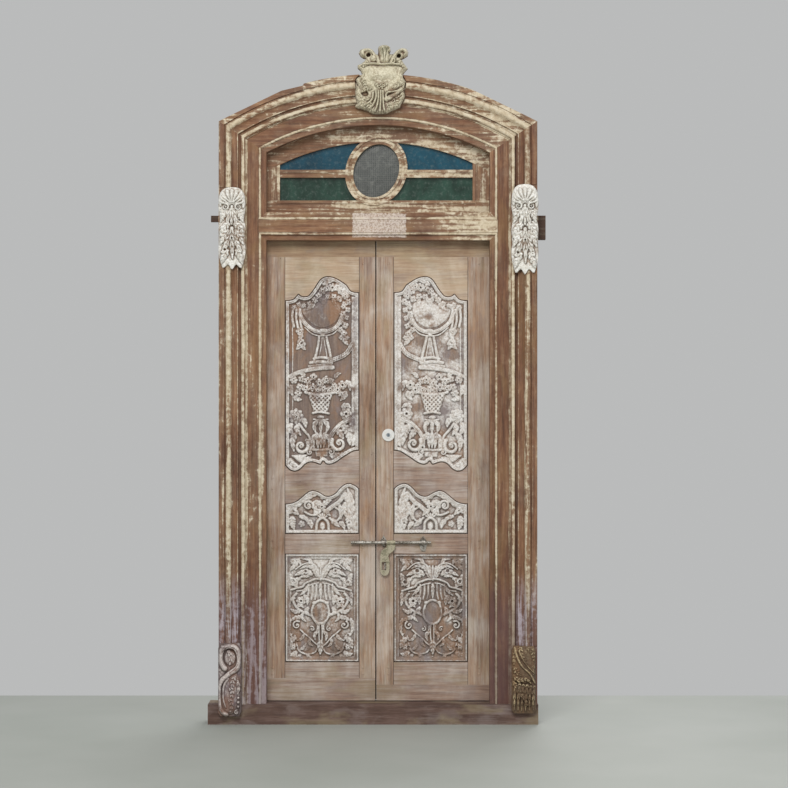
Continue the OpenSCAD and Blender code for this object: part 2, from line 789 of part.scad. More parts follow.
module latch_strike() {
    color("gray") difference() {
        block([meeting_x - 36, frame_back, lock_z - 20], [meeting_x - 6, 98, lock_z + 20]);
        block([meeting_x - 33, latch_y - 7.5, lock_z - latch_w / 2 - 2.5],
            [meeting_x, latch_y + 7.5, lock_z + latch_w / 2 + 2.5]);
    }
}

sill();
left_post();
right_post();
left_arch();
right_arch();
transom_rail();
crest();
left_capital();
right_capital();
left_base_console();
right_base_console();
fan_arched_rail();
fan_bottom_rail();
fan_left_stile();
fan_right_stile();
fan_oval_ring();
fan_bars();
blue_panes();
green_panes();
oval_pane();
hinge_frame_flaps();
hinge_pins();
color("tan") hinge_stile(-1);  // left_hinge_stile
color("tan") meeting_stile(-1);  // left_meeting_stile
color("burlywood") head_board(-1);  // left_head_board
color("tan") top_rail(-1);  // left_top_rail
color("tan") lock_rail(-1);  // left_lock_rail
color("tan") middle_rail(-1);  // left_middle_rail
color("tan") bottom_rail(-1);  // left_bottom_rail
color("burlywood") kick_board(-1);  // left_kick_board
color("linen") upper_panel(-1);  // left_upper_panel
color("linen") middle_panel(-1);  // left_middle_panel
color("linen") lower_panel(-1);  // left_lower_panel
color("wheat") panel_mouldings(-1);  // left_panel_mouldings
left_hinge_flaps();
bolt_keeper();
latch_strike();
color("tan") hinge_stile(1);  // right_hinge_stile
color("tan") meeting_stile(1);  // right_meeting_stile
color("burlywood") head_board(1);  // right_head_board
color("tan") top_rail(1);  // right_top_rail
color("tan") lock_rail(1);  // right_lock_rail
color("tan") middle_rail(1);  // right_middle_rail
color("tan") bottom_rail(1);  // right_bottom_rail
color("burlywood") kick_board(1);  // right_kick_board
color("linen") upper_panel(1);  // right_upper_panel
color("linen") middle_panel(1);  // right_middle_panel
color("linen") lower_panel(1);  // right_lower_panel
color("wheat") panel_mouldings(1);  // right_panel_mouldings
right_hinge_flaps();
bolt_guides();
padlock_staple();
lock_cylinder();
latch_case();
bolt_rod();
hasp();
lock_plug();
latch_bolt();
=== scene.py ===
"""Looks for the carved temple door. Metres in the scene, millimetres in the carving."""

import math

import bmesh
import bpy
import numpy as np
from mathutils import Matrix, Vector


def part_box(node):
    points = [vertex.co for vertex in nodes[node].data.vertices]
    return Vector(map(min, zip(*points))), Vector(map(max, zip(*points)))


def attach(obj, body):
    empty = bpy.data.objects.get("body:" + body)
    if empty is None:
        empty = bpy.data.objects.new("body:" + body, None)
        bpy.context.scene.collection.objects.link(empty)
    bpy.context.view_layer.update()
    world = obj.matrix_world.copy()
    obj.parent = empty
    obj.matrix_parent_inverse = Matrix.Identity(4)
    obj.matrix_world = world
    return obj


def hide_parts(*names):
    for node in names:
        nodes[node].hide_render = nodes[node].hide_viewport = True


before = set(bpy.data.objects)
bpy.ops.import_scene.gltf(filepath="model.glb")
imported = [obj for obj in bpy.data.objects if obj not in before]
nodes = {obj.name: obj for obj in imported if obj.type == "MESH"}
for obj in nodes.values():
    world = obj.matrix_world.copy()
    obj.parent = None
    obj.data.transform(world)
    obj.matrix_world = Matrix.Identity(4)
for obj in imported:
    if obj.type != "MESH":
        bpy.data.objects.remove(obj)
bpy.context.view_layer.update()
MM = 0.001

# Sizes shared with the construction, in millimetres
POST_EDGE = 470
ARCH_CENTRE = 1508.0
ARCH_RADIUS = 1010
ARCH_STRETCH = 208 / 197
TRANSOM_Z = 2033
LEAF_FRONT = 30
PANEL_X = {"left": -80, "right": 65}
PANEL_W = 315
GROUND_Y = 42
TONGUE_Y = 44
BED_Y = 46
PANEL_BACK = 58
TONGUE = 8
BLOCK_GROUND_Y = -80
CAPITAL_BACK_Y = -74
CONSOLE_BACK_Y = -61
CREST_GROUND_Y = -60
CREST_BACK_Y = -57.6
TENON_X = 674.5
# Pegged joints of the leaves, and the bolt guides
JOINT_Z = (1938, 1030, 985, 766, 735, 227, 200)
JOINT_X = {"left": (-64, -448), "right": (43, 427)}
GUIDE_X = (23, 191)
LEAF_FOOT = 88
LEAF_TOP = 2041
BOLT_Z = 758
BOLT_PLATE = 26


# ---------------------------------------------------------------- small tools


def linear(code):
    """Linear colour of an sRGB hex code."""
    parts = [int(code[i:i + 2], 16) / 255 for i in (1, 3, 5)]
    return [c / 12.92 if c <= 0.04045 else ((c + 0.055) / 1.055) ** 2.4 for c in parts] + [1]


def put(name, data):
    """A new object in the scene."""
    thing = bpy.data.objects.new(name, data)
    bpy.context.scene.collection.objects.link(thing)
    return thing


def noise(x, z, scale, seed):
    """Smooth random field from -1 to 1, with features of about `scale`."""
    table = np.random.default_rng(seed).uniform(-1, 1, (64, 64))
    a, b = x / scale, z / scale
    i, j = np.floor(a).astype(int), np.floor(b).astype(int)
    f, g = a - i, b - j
    f, g = f * f * (3 - 2 * f), g * g * (3 - 2 * g)
    pick = lambda p, q: table[p % 64, q % 64]
    low = pick(i, j) * (1 - f) + pick(i + 1, j) * f
    high = pick(i, j + 1) * (1 - f) + pick(i + 1, j + 1) * f
    return low * (1 - g) + high * g


def blur(field, cells):
    """Mean over a square of about 2 * cells + 1 points, twice."""
    n = max(1, int(round(cells)))
    out = field
    for _ in range(2):
        for axis in (0, 1):
            pad = [(n, n) if a == axis else (0, 0) for a in (0, 1)]
            wide = np.pad(out, pad, mode="edge")
            total = np.cumsum(wide, axis=axis)
            zero = np.zeros_like(np.take(total, [0], axis=axis))
            total = np.concatenate([zero, total], axis=axis)
            size = out.shape[axis]
            first = np.take(total, range(size), axis=axis)
            last = np.take(total, range(2 * n + 1, 2 * n + 1 + size), axis=axis)
            out = (last - first) / (2 * n + 1)
    return out


def curve(points, steps=5, closed=False):
    """Smooth line through points."""
    p = np.array(points, float)
    if len(p) < 3:
        return p
    count = len(p) if closed else len(p) - 1
    at = (lambda k: p[k % len(p)]) if closed else (lambda k: p[min(max(k, 0), len(p) - 1)])
    out = []
    for k in range(count):
        a, b, c, d = at(k - 1), at(k), at(k + 1), at(k + 2)
        for s in range(steps):
            t = s / steps
            bend, swing = 2 * a - 5 * b + 4 * c - d, 3 * b - a - 3 * c + d
            out.append(0.5 * (2 * b + (c - a) * t + bend * t * t + swing * t ** 3))
    if not closed:
        out.append(p[-1])
    return np.array(out)


def nearest(line, u, v, closed=False):
    """Distance to a line, share of its length there, side, and the nearest point."""
    ends = np.vstack([line, line[:1]]) if closed else line
    size = np.hypot(*(ends[1:] - ends[:-1]).T)
    start = np.concatenate([[0], np.cumsum(size)])
    best = np.full(u.shape, 1e9)
    along, side = np.zeros(u.shape), np.ones(u.shape)
    px, pz = u.copy(), v.copy()
    for a, b, s, length in zip(ends[:-1], ends[1:], start, size):
        if length < 1e-6:
            continue
        d = (b - a) / length
        t = np.clip((u - a[0]) * d[0] + (v - a[1]) * d[1], 0, length)
        ex, ez = u - a[0] - t * d[0], v - a[1] - t * d[1]
        far = np.hypot(ex, ez)
        near = far < best
        best = np.where(near, far, best)
        along = np.where(near, s + t, along)
        side = np.where(near, np.where(d[0] * ez - d[1] * ex > 0, 1.0, -1.0), side)
        px, pz = np.where(near, a[0] + t * d[0], px), np.where(near, a[1] + t * d[1], pz)
    return best, along / start[-1], side, px, pz


def inside(line, u, v):
    """True within a closed line."""
    odd = np.zeros(u.shape, bool)
    for a, b in zip(line, np.roll(line, -1, axis=0)):
        if a[1] == b[1]:
            continue
        cross = (a[1] > v) != (b[1] > v)
        x = a[0] + (v - a[1]) / (b[1] - a[1]) * (b[0] - a[0])
        odd ^= cross & (u < x)
    return odd


def reach_in(line, u, v):
    """Distance inside a closed line, negative outside, and the nearest point on it."""
    far, _, _, px, pz = nearest(line, u, v, closed=True)
    return np.where(inside(line, u, v), far, -far), px, pz


# ---------------------------------------------------------------- carving tools


class Relief:
    """A carved surface as heights over its ground. X runs across, Z up, all in millimetres."""

    def __init__(self, box, pitch, seed, wobble=1.5):
        x0, x1, z0, z1 = box
        self.pitch = pitch
        self.xs = np.linspace(x0, x1, int(round((x1 - x0) / pitch)) + 1)
        self.zs = np.linspace(z0, z1, int(round((z1 - z0) / pitch)) + 1)
        self.x, self.z = np.meshgrid(self.xs, self.zs)
        # Hand carving is never quite true
        self.u = self.x + wobble * noise(self.x, self.z, 47, seed)
        self.v = self.z + wobble * noise(self.x, self.z, 47, seed + 1)
        self.h = np.zeros_like(self.x)
        self.seed = seed

    def window(self, points, reach):
        """The part of the grid that lies within reach of the points."""
        p = np.atleast_2d(points)
        m = reach + 5
        i0, i1 = np.searchsorted(self.xs, [p[:, 0].min() - m, p[:, 0].max() + m])
        j0, j1 = np.searchsorted(self.zs, [p[:, 1].min() - m, p[:, 1].max() + m])
        return slice(j0, j1), slice(i0, i1)

    def lay(self, win, reach, height, cut=2.2, over=False):
        """Adds a piece: reach is how far inside its edge a point lies."""
        h = self.h[win]
        edge = np.clip(reach / self.pitch + 0.5, 0, 1)
        groove = cut * np.exp(-(np.minimum(reach, 0) / 1.7) ** 2) * (reach < 0) * (h > 2)
        top = height if over else np.maximum(h, height)
        self.h[win] = np.where(edge > 0, h * (1 - edge) + top * edge, h - groove)

    def rope(self, points, w, h, tip=1.0, raw=False):
        """Rounded strand, from width w to tip * w. raw takes the points as they are."""
        line = np.array(points, float) if raw else curve(points)
        win = self.window(line, w + 4)
        far, s, _, _, _ = nearest(line, self.u[win], self.v[win])
        half = w * (1 + (tip - 1) * s)
        t = np.clip(far / half, 0, 1)
        self.lay(win, half - far, h * (0.45 + 0.55 * np.sqrt(1 - t * t)))

    def strap(self, points, w, h, lines=1, braid=0.0):
        """Flat band with grooves along it, or plaited if braid gives the pitch."""
        line = curve(points)
        win = self.window(line, w + 4)
        far, s, side, _, _ = nearest(line, self.u[win], self.v[win])
        t = np.clip(far / w, 0, 1)
        top = h * (0.86 + 0.14 * np.cos(2 * math.pi * t * lines))
        if braid:
            length = np.hypot(*(line[1:] - line[:-1]).T).sum()
            top = top - 0.16 * h * (np.cos(2 * math.pi * (s * length / braid + 0.5 * side * t)) > 0.3)
        self.lay(win, w - far, top * (0.9 + 0.1 * np.sqrt(1 - t * t)))

    def leaf(self, points, w, h, lobes, tip=0.0):
        """Lobed leaf along a midrib, widest at a third of its length."""
        line = curve(points)
        win = self.window(line, w + 4)
        far, s = nearest(line, self.u[win], self.v[win])[:2]
        body = np.sin(math.pi * np.clip(s, 0, 1) ** 0.65) ** 0.7 * (1 - tip) + tip * (1 - s) + 0.12
        half = w * body * (0.8 + 0.2 * np.abs(np.cos(math.pi * lobes * s)))
        t = np.clip(far / half, 0, 1)
        top = h * (0.5 + 0.5 * np.sqrt(1 - t * t))
        top = top * (1 - 0.2 * (np.cos(2 * math.pi * (lobes * s - 0.55 * t)) > 0.45) * (t > 0.12))
        top = top - 0.22 * h * np.exp(-(far / 1.7) ** 2)
        self.lay(win, half - far, top, 2.4)

    def leaves(self, rows, at=lambda x, z: (x, z), k=1.0):
        """Leaves from rows of numbers: three places on the midrib, then width, height and lobes."""
        for row in rows:
            self.leaf([at(*row[n:n + 2]) for n in (0, 2, 4)], row[6] * k, *row[7:])

    def curl(self, centre, r, turns, start, h, w, spin=1, eye=0.3):
        """Scroll that winds in from its rim."""
        a = np.linspace(0, 1, int(18 * turns) + 2)
        radius = (r - w) * (1 - a) ** 0.9 + r * eye * 0.5
        angle = math.radians(start) + spin * a * turns * 2 * math.pi
        line = np.column_stack([centre[0] + radius * np.cos(angle), centre[1] + radius * np.sin(angle)])
        self.rope(line, w, h, tip=0.55, raw=True)
        self.dome(centre, r * eye, r * eye, h * 1.05)

    def dome(self, centre, rx, rz, h, lean=0, edge=0.4, over=False):
        """Oval boss. lean turns it, in degrees, and over lets it cut into what lies there."""
        win = self.window([centre], max(rx, rz) + 4)
        c, s = math.cos(math.radians(lean)), math.sin(math.radians(lean))
        du, dv = self.u[win] - centre[0], self.v[win] - centre[1]
        q = np.hypot((du * c + dv * s) / rx, (dv * c - du * s) / rz)
        top = h * (edge + (1 - edge) * np.sqrt(1 - np.clip(q, 0, 1) ** 2))
        self.lay(win, (1 - q) * min(rx, rz), top, over=over)

    def ring(self, centre, rx, rz, w, h):
        """Oval rim of rounded section."""
        win = self.window([centre], max(rx, rz) + w + 4)
        q = np.hypot((self.u[win] - centre[0]) / rx, (self.v[win] - centre[1]) / rz)
        far = np.abs(q - 1) * min(rx, rz)
        t = np.clip(far / w, 0, 1)
        self.lay(win, w - far, h * (0.5 + 0.5 * np.sqrt(1 - t * t)))

    def flower(self, centre, r, h, petals, turn=0.0, eye=0.3):
        """Rosette: two rounds of petals about a sunken heart."""
        win = self.window([centre], r + 4)
        du, dv = self.u[win] - centre[0], self.v[win] - centre[1]
        far, angle = np.hypot(du, dv), np.arctan2(dv, du) + turn
        outer = np.abs(np.cos(petals * angle / 2))
        inner = np.abs(np.cos(petals * angle / 2 + 0.9 + far / r))
        rim = r * (0.8 + 0.2 * outer)
        fold = r * 0.6 * (0.84 + 0.16 * inner)
        t = np.clip(far / rim, 0, 1)
        top = h * (0.5 + 0.34 * np.sin(math.pi * t ** 0.9)) * (0.82 + 0.18 * outer)
        q = np.clip(far / fold, 0, 1)
        top = np.where(far < fold, h * (0.74 + 0.26 * np.sqrt(1 - q * q)) * (0.84 + 0.16 * inner), top)
        top = top - 0.2 * h * np.exp(-((far - fold) / 1.5) ** 2)
        top = np.where(far < r * eye * 0.6, h * 0.48, top)
        self.lay(win, rim - far, top)

    def fan(self, centre, r, a0, a1, ribs, h):
        """Shell or palmette of ribs that spread from a centre, from angle a0 to a1 in degrees."""
        win = self.window([centre], r + 4)
        du, dv = self.u[win] - centre[0], self.v[win] - centre[1]
        far = np.hypot(du, dv)
        lo, hi = math.radians(a0), math.radians(a1)
        mid = (lo + hi) / 2
        angle = mid + (np.arctan2(dv, du) - mid + math.pi) % (2 * math.pi) - math.pi
        share = (angle - lo) / (hi - lo)
        wave = np.abs(np.sin(math.pi * ribs * share))
        rim = r * (0.84 + 0.16 * wave)
        edge = np.minimum(np.minimum(share, 1 - share) * (hi - lo) * far, rim - far)
        edge = np.minimum(edge, far - r * 0.1)
        t = np.clip(far / rim, 0, 1)
        top = h * (0.5 + 0.5 * wave) * (0.62 + 0.38 * np.sin(math.pi * (0.15 + 0.75 * t)))
        self.lay(win, edge, top)

    def patch(self, points, h, bevel, smooth=True, weave=0.0):
        """Raised area with a bevelled edge; weave gives the pitch of a basket's strips."""
        line = curve(points, closed=True) if smooth else np.array(points, float)
        win = self.window(line, 4)
        u, v = self.u[win], self.v[win]
        reach = reach_in(line, u, v)[0]
        top = h * (0.4 + 0.6 * np.sqrt(np.clip(reach / bevel, 0, 1)))
        if weave:
            a, b = (u + v) / weave, (u - v) / weave
            fa, fb = np.abs(a - np.round(a)), np.abs(b - np.round(b))
            over_a = (np.floor(a) + np.floor(b)) % 2 == 0
            one = np.where(fa < 0.27, np.where(over_a, 1.0, 0.84), 0)
            other = np.where(fb < 0.27, np.where(over_a, 0.84, 1.0), 0)
            strip = np.maximum(one, other)
            top = top * np.where(strip > 0, strip, 0.45)
        self.lay(win, reach, top)

    def groove(self, points, w, depth):
        """Cut along a line."""
        line = curve(points)
        win = self.window(line, 3 * w)
        far = nearest(line, self.u[win], self.v[win])[0]
        self.h[win] -= depth * np.exp(-(far / w) ** 2)

    def hole(self, centre, r, depth):
        """Drilled hollow."""
        win = self.window([centre], r + 3)
        far = np.hypot(self.u[win] - centre[0], self.v[win] - centre[1])
        self.h[win] -= depth * np.clip((r - far) / 1.5 + 0.5, 0, 1)

    def moulding(self, outline, table):
        """Profile that follows the outline: pairs of distance in and height."""
        reach = reach_in(outline, self.x, self.z)[0]
        xs, hs = zip(*table)
        self.h = np.where(reach < xs[-1], np.maximum(np.interp(reach, xs, hs), self.h * (reach > xs[-2])),
                          self.h)

    def wear(self, fine=0.35, coarse=0.5):
        """Softens the cuts and leaves tool marks."""
        self.h = 0.6 * self.h + 0.4 * blur(self.h, 1)
        self.h = self.h + coarse * noise(self.x, self.z, 17, self.seed + 5)
        self.h = self.h + fine * noise(self.x, self.z, 5, self.seed + 6)


def fill_flat(points, edges):
    """Triangles that fill closed loops in one plane, holes left open."""
    bm = bmesh.new()
    verts = [bm.verts.new(p) for p in points]
    links = [bm.edges.new((verts[a], verts[b])) for a, b in edges]
    bmesh.ops.triangle_fill(bm, edges=links, use_beauty=False)
    bm.verts.index_update()
    tris = [[v.index for v in f.verts] for f in bm.faces]
    bm.free()
    return tris


def carved_mesh(name, relief, outline, place, face_y, back_y, paint, flip=False):
    """Closed body with the relief as its front. place maps its X, flip turns the faces where that
    mirrors it, and paint makes the shares of limewash, with its painted highlight, and of painted shade in
    the cuts."""
    x, z = relief.x, relief.z
    reach, px, pz = reach_in(outline, x, z)
    keep_point = reach > 0
    cell = keep_point[:-1, :-1] | keep_point[1:, :-1] | keep_point[:-1, 1:] | keep_point[1:, 1:]
    near = reach > -1.6 * relief.pitch
    cell &= near[:-1, :-1] & near[1:, :-1] & near[:-1, 1:] & near[1:, 1:]
    out = ~keep_point
    x, z = np.where(out, px, x), np.where(out, pz, z)
    rows, cols = x.shape
    number = np.arange(rows * cols).reshape(rows, cols)
    a, b = number[:-1, :-1][cell], number[:-1, 1:][cell]
    c, d = number[1:, 1:][cell], number[1:, :-1][cell]
    quads = np.column_stack([a, b, c, d])
    # Edges used once are the rim
    side = np.vstack([quads[:, [0, 1]], quads[:, [1, 2]], quads[:, [2, 3]], quads[:, [3, 0]]])
    key = np.sort(side, axis=1)
    _, first, count = np.unique(key, axis=0, return_index=True, return_counts=True)
    rim = side[first[count == 1]]
    used = np.unique(quads)
    new = np.full(rows * cols, -1)
    new[used] = np.arange(len(used))
    quads, rim = new[quads], new[rim]
    flat = lambda f: f.ravel()[used]
    y = face_y - flat(relief.h)
    xyz = np.column_stack([place(flat(x)), y, flat(z)])
    rim_ids = np.unique(rim)
    back = np.full(len(used), -1)
    back[rim_ids] = np.arange(len(rim_ids)) + len(used)
    low = xyz[rim_ids].copy()
    low[:, 1] = back_y
    walls = np.column_stack([rim[:, 1], rim[:, 0], back[rim[:, 0]], back[rim[:, 1]]])
    xyz = np.vstack([xyz, low]) * MM
    tris = fill_flat(xyz[len(used):].tolist(), (back[rim] - len(used)).tolist())
    if flip:
        quads, walls = quads[:, ::-1], walls[:, ::-1]
    faces = quads.tolist() + walls.tolist()
    p = xyz[len(used):]
    for t in tris:
        ax, az = p[t[1], 0] - p[t[0], 0], p[t[1], 2] - p[t[0], 2]
        bx, bz = p[t[2], 0] - p[t[0], 0], p[t[2], 2] - p[t[0], 2]
        faces.append([k + len(used) for k in (t if ax * bz - az * bx < 0 else t[::-1])])
    mesh = bpy.data.meshes.new(name)
    mesh.from_pydata(xyz.tolist(), [], faces)
    smooth = np.zeros(len(faces), bool)
    smooth[:len(quads)] = True
    mesh.polygons.foreach_set("use_smooth", smooth)
    lime, hollow = paint(relief)
    for label, field in (("lime", lime), ("hollow", hollow)):
        values = np.zeros(len(xyz), np.float32)
        values[:len(used)] = flat(field)
        values[len(used):] = flat(field)[rim_ids]
        mesh.attributes.new(label, "FLOAT", "POINT").data.foreach_set("value", values)
    mesh.update()
    return put(name, mesh)


def lime_and_painted_light(base, blobs, ground=0.0, rim=(), painted_shadow_pits=()):
    """Where limewash is left, with more of it on sharp edges and high parts as painted highlight: a base
    share, round patches that add to it or rub it off the low parts, the ground's own share, pairs of
    distance in from the edge and share, and pits painted near black as painted shadow. It also gives
    painted shade in the cuts."""
    def paint(relief):
        h, n = relief.h, relief.pitch
        raised = np.clip(h / 12, 0, 1)
        broad = np.clip(h - blur(h, 6 / n), -5, 5)
        fine = np.clip(h - blur(h, 2.5 / n), -2.5, 2.5)
        # Sharp edges and high parts take more wash: painted highlight, laid over the real limewash
        lime = base + 0.045 * broad + 0.08 * fine
        lime = lime + 0.1 * np.clip(h / 16, 0, 1.1) + ground * np.clip((4 - h) / 3, 0, 1)
        lime = lime + 0.16 * noise(relief.x, relief.z, 38, relief.seed + 11)
        lime = lime + 0.1 * noise(relief.x, relief.z, 13, relief.seed + 12)
        for x, z, r, amount in blobs:
            near = np.exp(-(((relief.x - x) ** 2 + (relief.z - z) ** 2) / (r * r)))
            lime = lime + amount * near * (1 - 0.5 * raised * (amount < 0) * (h < 25))
        if len(rim):
            lime = lime + np.interp(relief.rim, *zip(*rim))
        # Darker where the surface lies below its surroundings: painted shade in the cuts
        hollow = np.clip((blur(h, 3.5 / n) - h) / 4.5, 0, 1)
        # The pits get no wash and the most darkening: painted shadow for deep holes
        for x, z in painted_shadow_pits:
            near = np.hypot(relief.x - x, relief.z - z) < 11
            lime, hollow = np.where(near & (h < 12), 0, lime), np.where(near & (h < 12), 1.6, hollow)
        return np.clip(lime, 0, 1), np.clip(hollow, 0, 1.6)
    return paint


# ---------------------------------------------------------------- the leaves' panels

# Edges of the shaped panels: distance from the meeting side, height above a datum
UPPER_TOP = [(0, 34), (20, 36), (36, 42), (48, 59), (57, 69), (86, 88), (107, 98), (128, 102), (149, 100),
             (166, 89), (178, 73), (191, 52), (204, 34), (217, 20), (233, 17), (248, 21), (258, 28),
             (271, 15), (284, 4), (315, 0)]
UPPER_BOTTOM = [(0, 92), (25, 88), (50, 74), (76, 57), (101, 40), (126, 32), (143, 36), (153, 46),
                (164, 32), (185, 38), (206, 42), (227, 34), (248, 13), (269, 3), (294, 8), (315, 29)]
MIDDLE_TOP = [(0, 63), (17, 78), (42, 87), (63, 82), (84, 65), (101, 46), (122, 34), (143, 34), (160, 44),
              (176, 52), (197, 57), (218, 50), (244, 29), (269, 10), (294, 2), (315, 0)]
# Panel moulding: distance in from the edge, height over the ground
NARROW_BEAD = [(0, 4), (3, 6), (4.5, 15), (7, 17.5), (9.5, 16.5), (11, 11), (12.5, 13), (14, 13.5),
               (16, 11), (19, 0)]
BROAD_BEVEL = [(0, 4), (3, 6), (4.5, 16), (7.5, 17.5), (9.5, 16), (11, 11), (19, 7), (22, 8.5), (24, 0)]


def upper_outline(grow):
    """Rim of an upper panel, wider by grow all round."""
    low = curve(UPPER_BOTTOM, 3) + [0, 1054 - grow]
    high = curve(UPPER_TOP, 3)[::-1] + [0, 1783 + grow]
    line = np.vstack([low, high])
    line[:, 0] = line[:, 0] * (PANEL_W + 2 * grow) / PANEL_W - grow
    return line


def middle_outline(grow):
    """Rim of a middle panel, wider by grow all round."""
    high = curve(MIDDLE_TOP, 3)[::-1] + [0, 922 + grow]
    high[:, 0] = high[:, 0] * (PANEL_W + 2 * grow) / PANEL_W - grow
    return np.vstack([[[-grow, 793 - grow], [PANEL_W + grow, 793 - grow]], high])


def lower_outline(grow):
    """Rim of a lower panel, wider by grow all round."""
    return np.array([(-grow, 250 - grow), (PANEL_W + grow, 250 - grow), (PANEL_W + grow, 710 + grow),
                     (-grow, 710 + grow)], float)


def many_flowers(r, places, h, petals=6):
    """Rosettes: across, up, radius."""
    for k, (x, z, size) in enumerate(places):
        r.flower((x, z), size, h + 1.5 * (k % 3), petals - k % 2, turn=0.7 * k, eye=0.34)


def carve_upper(r):
    """Shield hung with garlands, over a basket of flowers that stands on a husk between scrolls."""
    # Flat strips beside the carving
    r.patch([(15, 1170), (33, 1160), (33, 1800), (15, 1800)], 9, 2, smooth=False)
    r.rope([(283, 1240), (283, 1500), (283, 1735)], 2.6, 5)
    # Shield with a double rim
    r.patch([(248, 1747), (223, 1756), (197, 1756), (172, 1768), (147, 1789), (118, 1781), (88, 1772),
             (80, 1743), (84, 1718), (101, 1693), (126, 1674), (155, 1667), (185, 1674), (214, 1695),
             (235, 1720)], 8.5, 30)
    r.strap([(254, 1739), (244, 1705), (223, 1678), (193, 1657), (155, 1648), (118, 1657), (92, 1678),
             (74, 1714)], 8.5, 13)
    r.rope([(231, 1667), (197, 1640), (155, 1632), (113, 1640), (92, 1659)], 3.4, 9)
    r.dome((149, 1655), 20, 8.5, 15, lean=6)
    # Garland over the shield
    r.leaves([(139, 1793, 151, 1777, 160, 1756, 10, 11, 3), (113, 1789, 105, 1772, 101, 1756, 10, 11, 3),
              (189, 1768, 206, 1756, 223, 1739, 10, 11, 3), (239, 1764, 252, 1751, 265, 1739, 10, 11, 3),
              (80, 1861, 63, 1840, 42, 1798, 12, 12, 4), (155, 1848, 130, 1861, 105, 1865, 10, 12, 3)])
    many_flowers(r, [(277, 1751, 14), (256, 1764, 12), (235, 1760, 12), (210, 1768, 14), (189, 1785, 15),
                     (172, 1802, 16), (155, 1823, 17), (134, 1835, 16), (113, 1838, 19), (92, 1840, 17),
                     (76, 1823, 18), (59, 1802, 16), (46, 1777, 15)], 13.5)
    many_flowers(r, [(160, 1785, 12), (134, 1798, 14), (109, 1798, 15), (84, 1789, 15), (63, 1768, 13)], 12,
                 5)
    # Ribbons and tassels that hang on the hinge side
    r.rope([(281, 1743), (284, 1709), (277, 1672)], 6, 11)
    r.rope([(265, 1743), (267, 1705), (260, 1667)], 6, 12)
    r.rope([(249, 1743), (252, 1705), (246, 1667)], 5.5, 11)
    r.flower((252, 1651), 18, 14, 5)
    r.leaf([(244, 1642), (248, 1630), (256, 1613)], 10, 11, 3)
    r.flower((247, 1600), 21, 15, 5, turn=0.5)
    r.leaves([(256, 1592, 260, 1583, 269, 1575, 8, 9, 2), (239, 1592, 235, 1579, 227, 1575, 8, 9, 2)])
    # Garland that hangs on the meeting side
    many_flowers(r, [(67, 1756, 13), (50, 1743, 13), (71, 1726, 14), (55, 1709, 13), (76, 1693, 14),
                     (59, 1676, 14), (80, 1659, 14), (63, 1642, 15), (50, 1625, 11), (76, 1625, 12)], 12, 5)
    r.leaf([(63, 1625), (59, 1609), (46, 1592)], 11, 11, 3)
    # Tripod
    r.rope([(170, 1632), (176, 1592), (191, 1525)], 5.6, 10, tip=1.2)
    r.rope([(141, 1632), (130, 1588), (116, 1520)], 5.6, 10, tip=1.2)
    r.rope([(157, 1625), (162, 1588), (172, 1541)], 2.6, 5)
    r.rope([(151, 1625), (144, 1588), (137, 1541)], 2.6, 5)
    r.dome((155, 1635), 12, 7, 12)
    r.strap([(193, 1535), (160, 1541), (122, 1536)], 6, 10)
    r.strap([(208, 1518), (164, 1522), (118, 1516)], 7, 11)
    r.strap([(214, 1503), (164, 1508), (118, 1504)], 5, 8)
    # Plaited ribbon and folded cloth
    r.strap([(126, 1525), (97, 1536), (67, 1550), (44, 1571), (29, 1596)], 9.5, 12.5, braid=11)
    r.strap([(292, 1460), (265, 1474), (231, 1485), (193, 1491), (155, 1495), (113, 1498)], 9, 12.5,
            lines=2)
    # Basket and its flowers
    r.patch([(223, 1394), (111, 1394), (122, 1357), (134, 1306), (193, 1306), (210, 1357)], 13, 6,
            smooth=False, weave=18)
    r.strap([(229, 1392), (168, 1382), (105, 1392)], 5.5, 15)
    r.rope([(197, 1304), (164, 1310), (130, 1304)], 5.5, 14)
    r.leaves([(290, 1424, 294, 1403, 281, 1378, 12, 10, 3), (277, 1378, 265, 1365, 244, 1361, 11, 10, 3),
              (59, 1399, 63, 1378, 80, 1357, 12, 10, 3), (231, 1457, 239, 1470, 256, 1474, 9, 10, 3),
              (105, 1453, 92, 1470, 76, 1474, 9, 10, 3), (59, 1441, 42, 1428, 38, 1399, 11, 10, 3)])
    many_flowers(r, [(277, 1445, 18), (244, 1449, 15), (218, 1441, 18), (193, 1457, 17), (168, 1432, 20),
                     (139, 1445, 19), (151, 1407, 16), (118, 1441, 14), (105, 1420, 15), (92, 1403, 19),
                     (71, 1424, 21), (252, 1415, 17), (260, 1390, 17), (227, 1409, 18), (197, 1413, 19),
                     (122, 1403, 17), (76, 1386, 14), (176, 1401, 15)], 14.5)
    # Foot of the basket and husk
    r.dome((164, 1287), 16, 9, 11)
    r.strap([(193, 1278), (164, 1275), (134, 1278)], 3.4, 12)
    r.leaves([(170, 1277, 191, 1252, 183, 1218, 10, 12, 3), (158, 1277, 134, 1252, 141, 1218, 10, 12, 3),
              (164, 1277, 164, 1247, 162, 1218, 9, 11, 3), (176, 1222, 196, 1193, 191, 1155, 11, 13, 3),
              (151, 1222, 126, 1193, 132, 1155, 11, 13, 3), (171, 1218, 176, 1189, 174, 1155, 9, 13, 3),
              (155, 1218, 150, 1189, 152, 1155, 9, 13, 3), (163, 1226, 163, 1193, 163, 1155, 8, 15, 3)])
    r.strap([(200, 1151), (164, 1148), (126, 1151)], 6, 12)
    r.patch([(189, 1142), (130, 1142), (134, 1119), (185, 1119)], 8, 3, smooth=False)
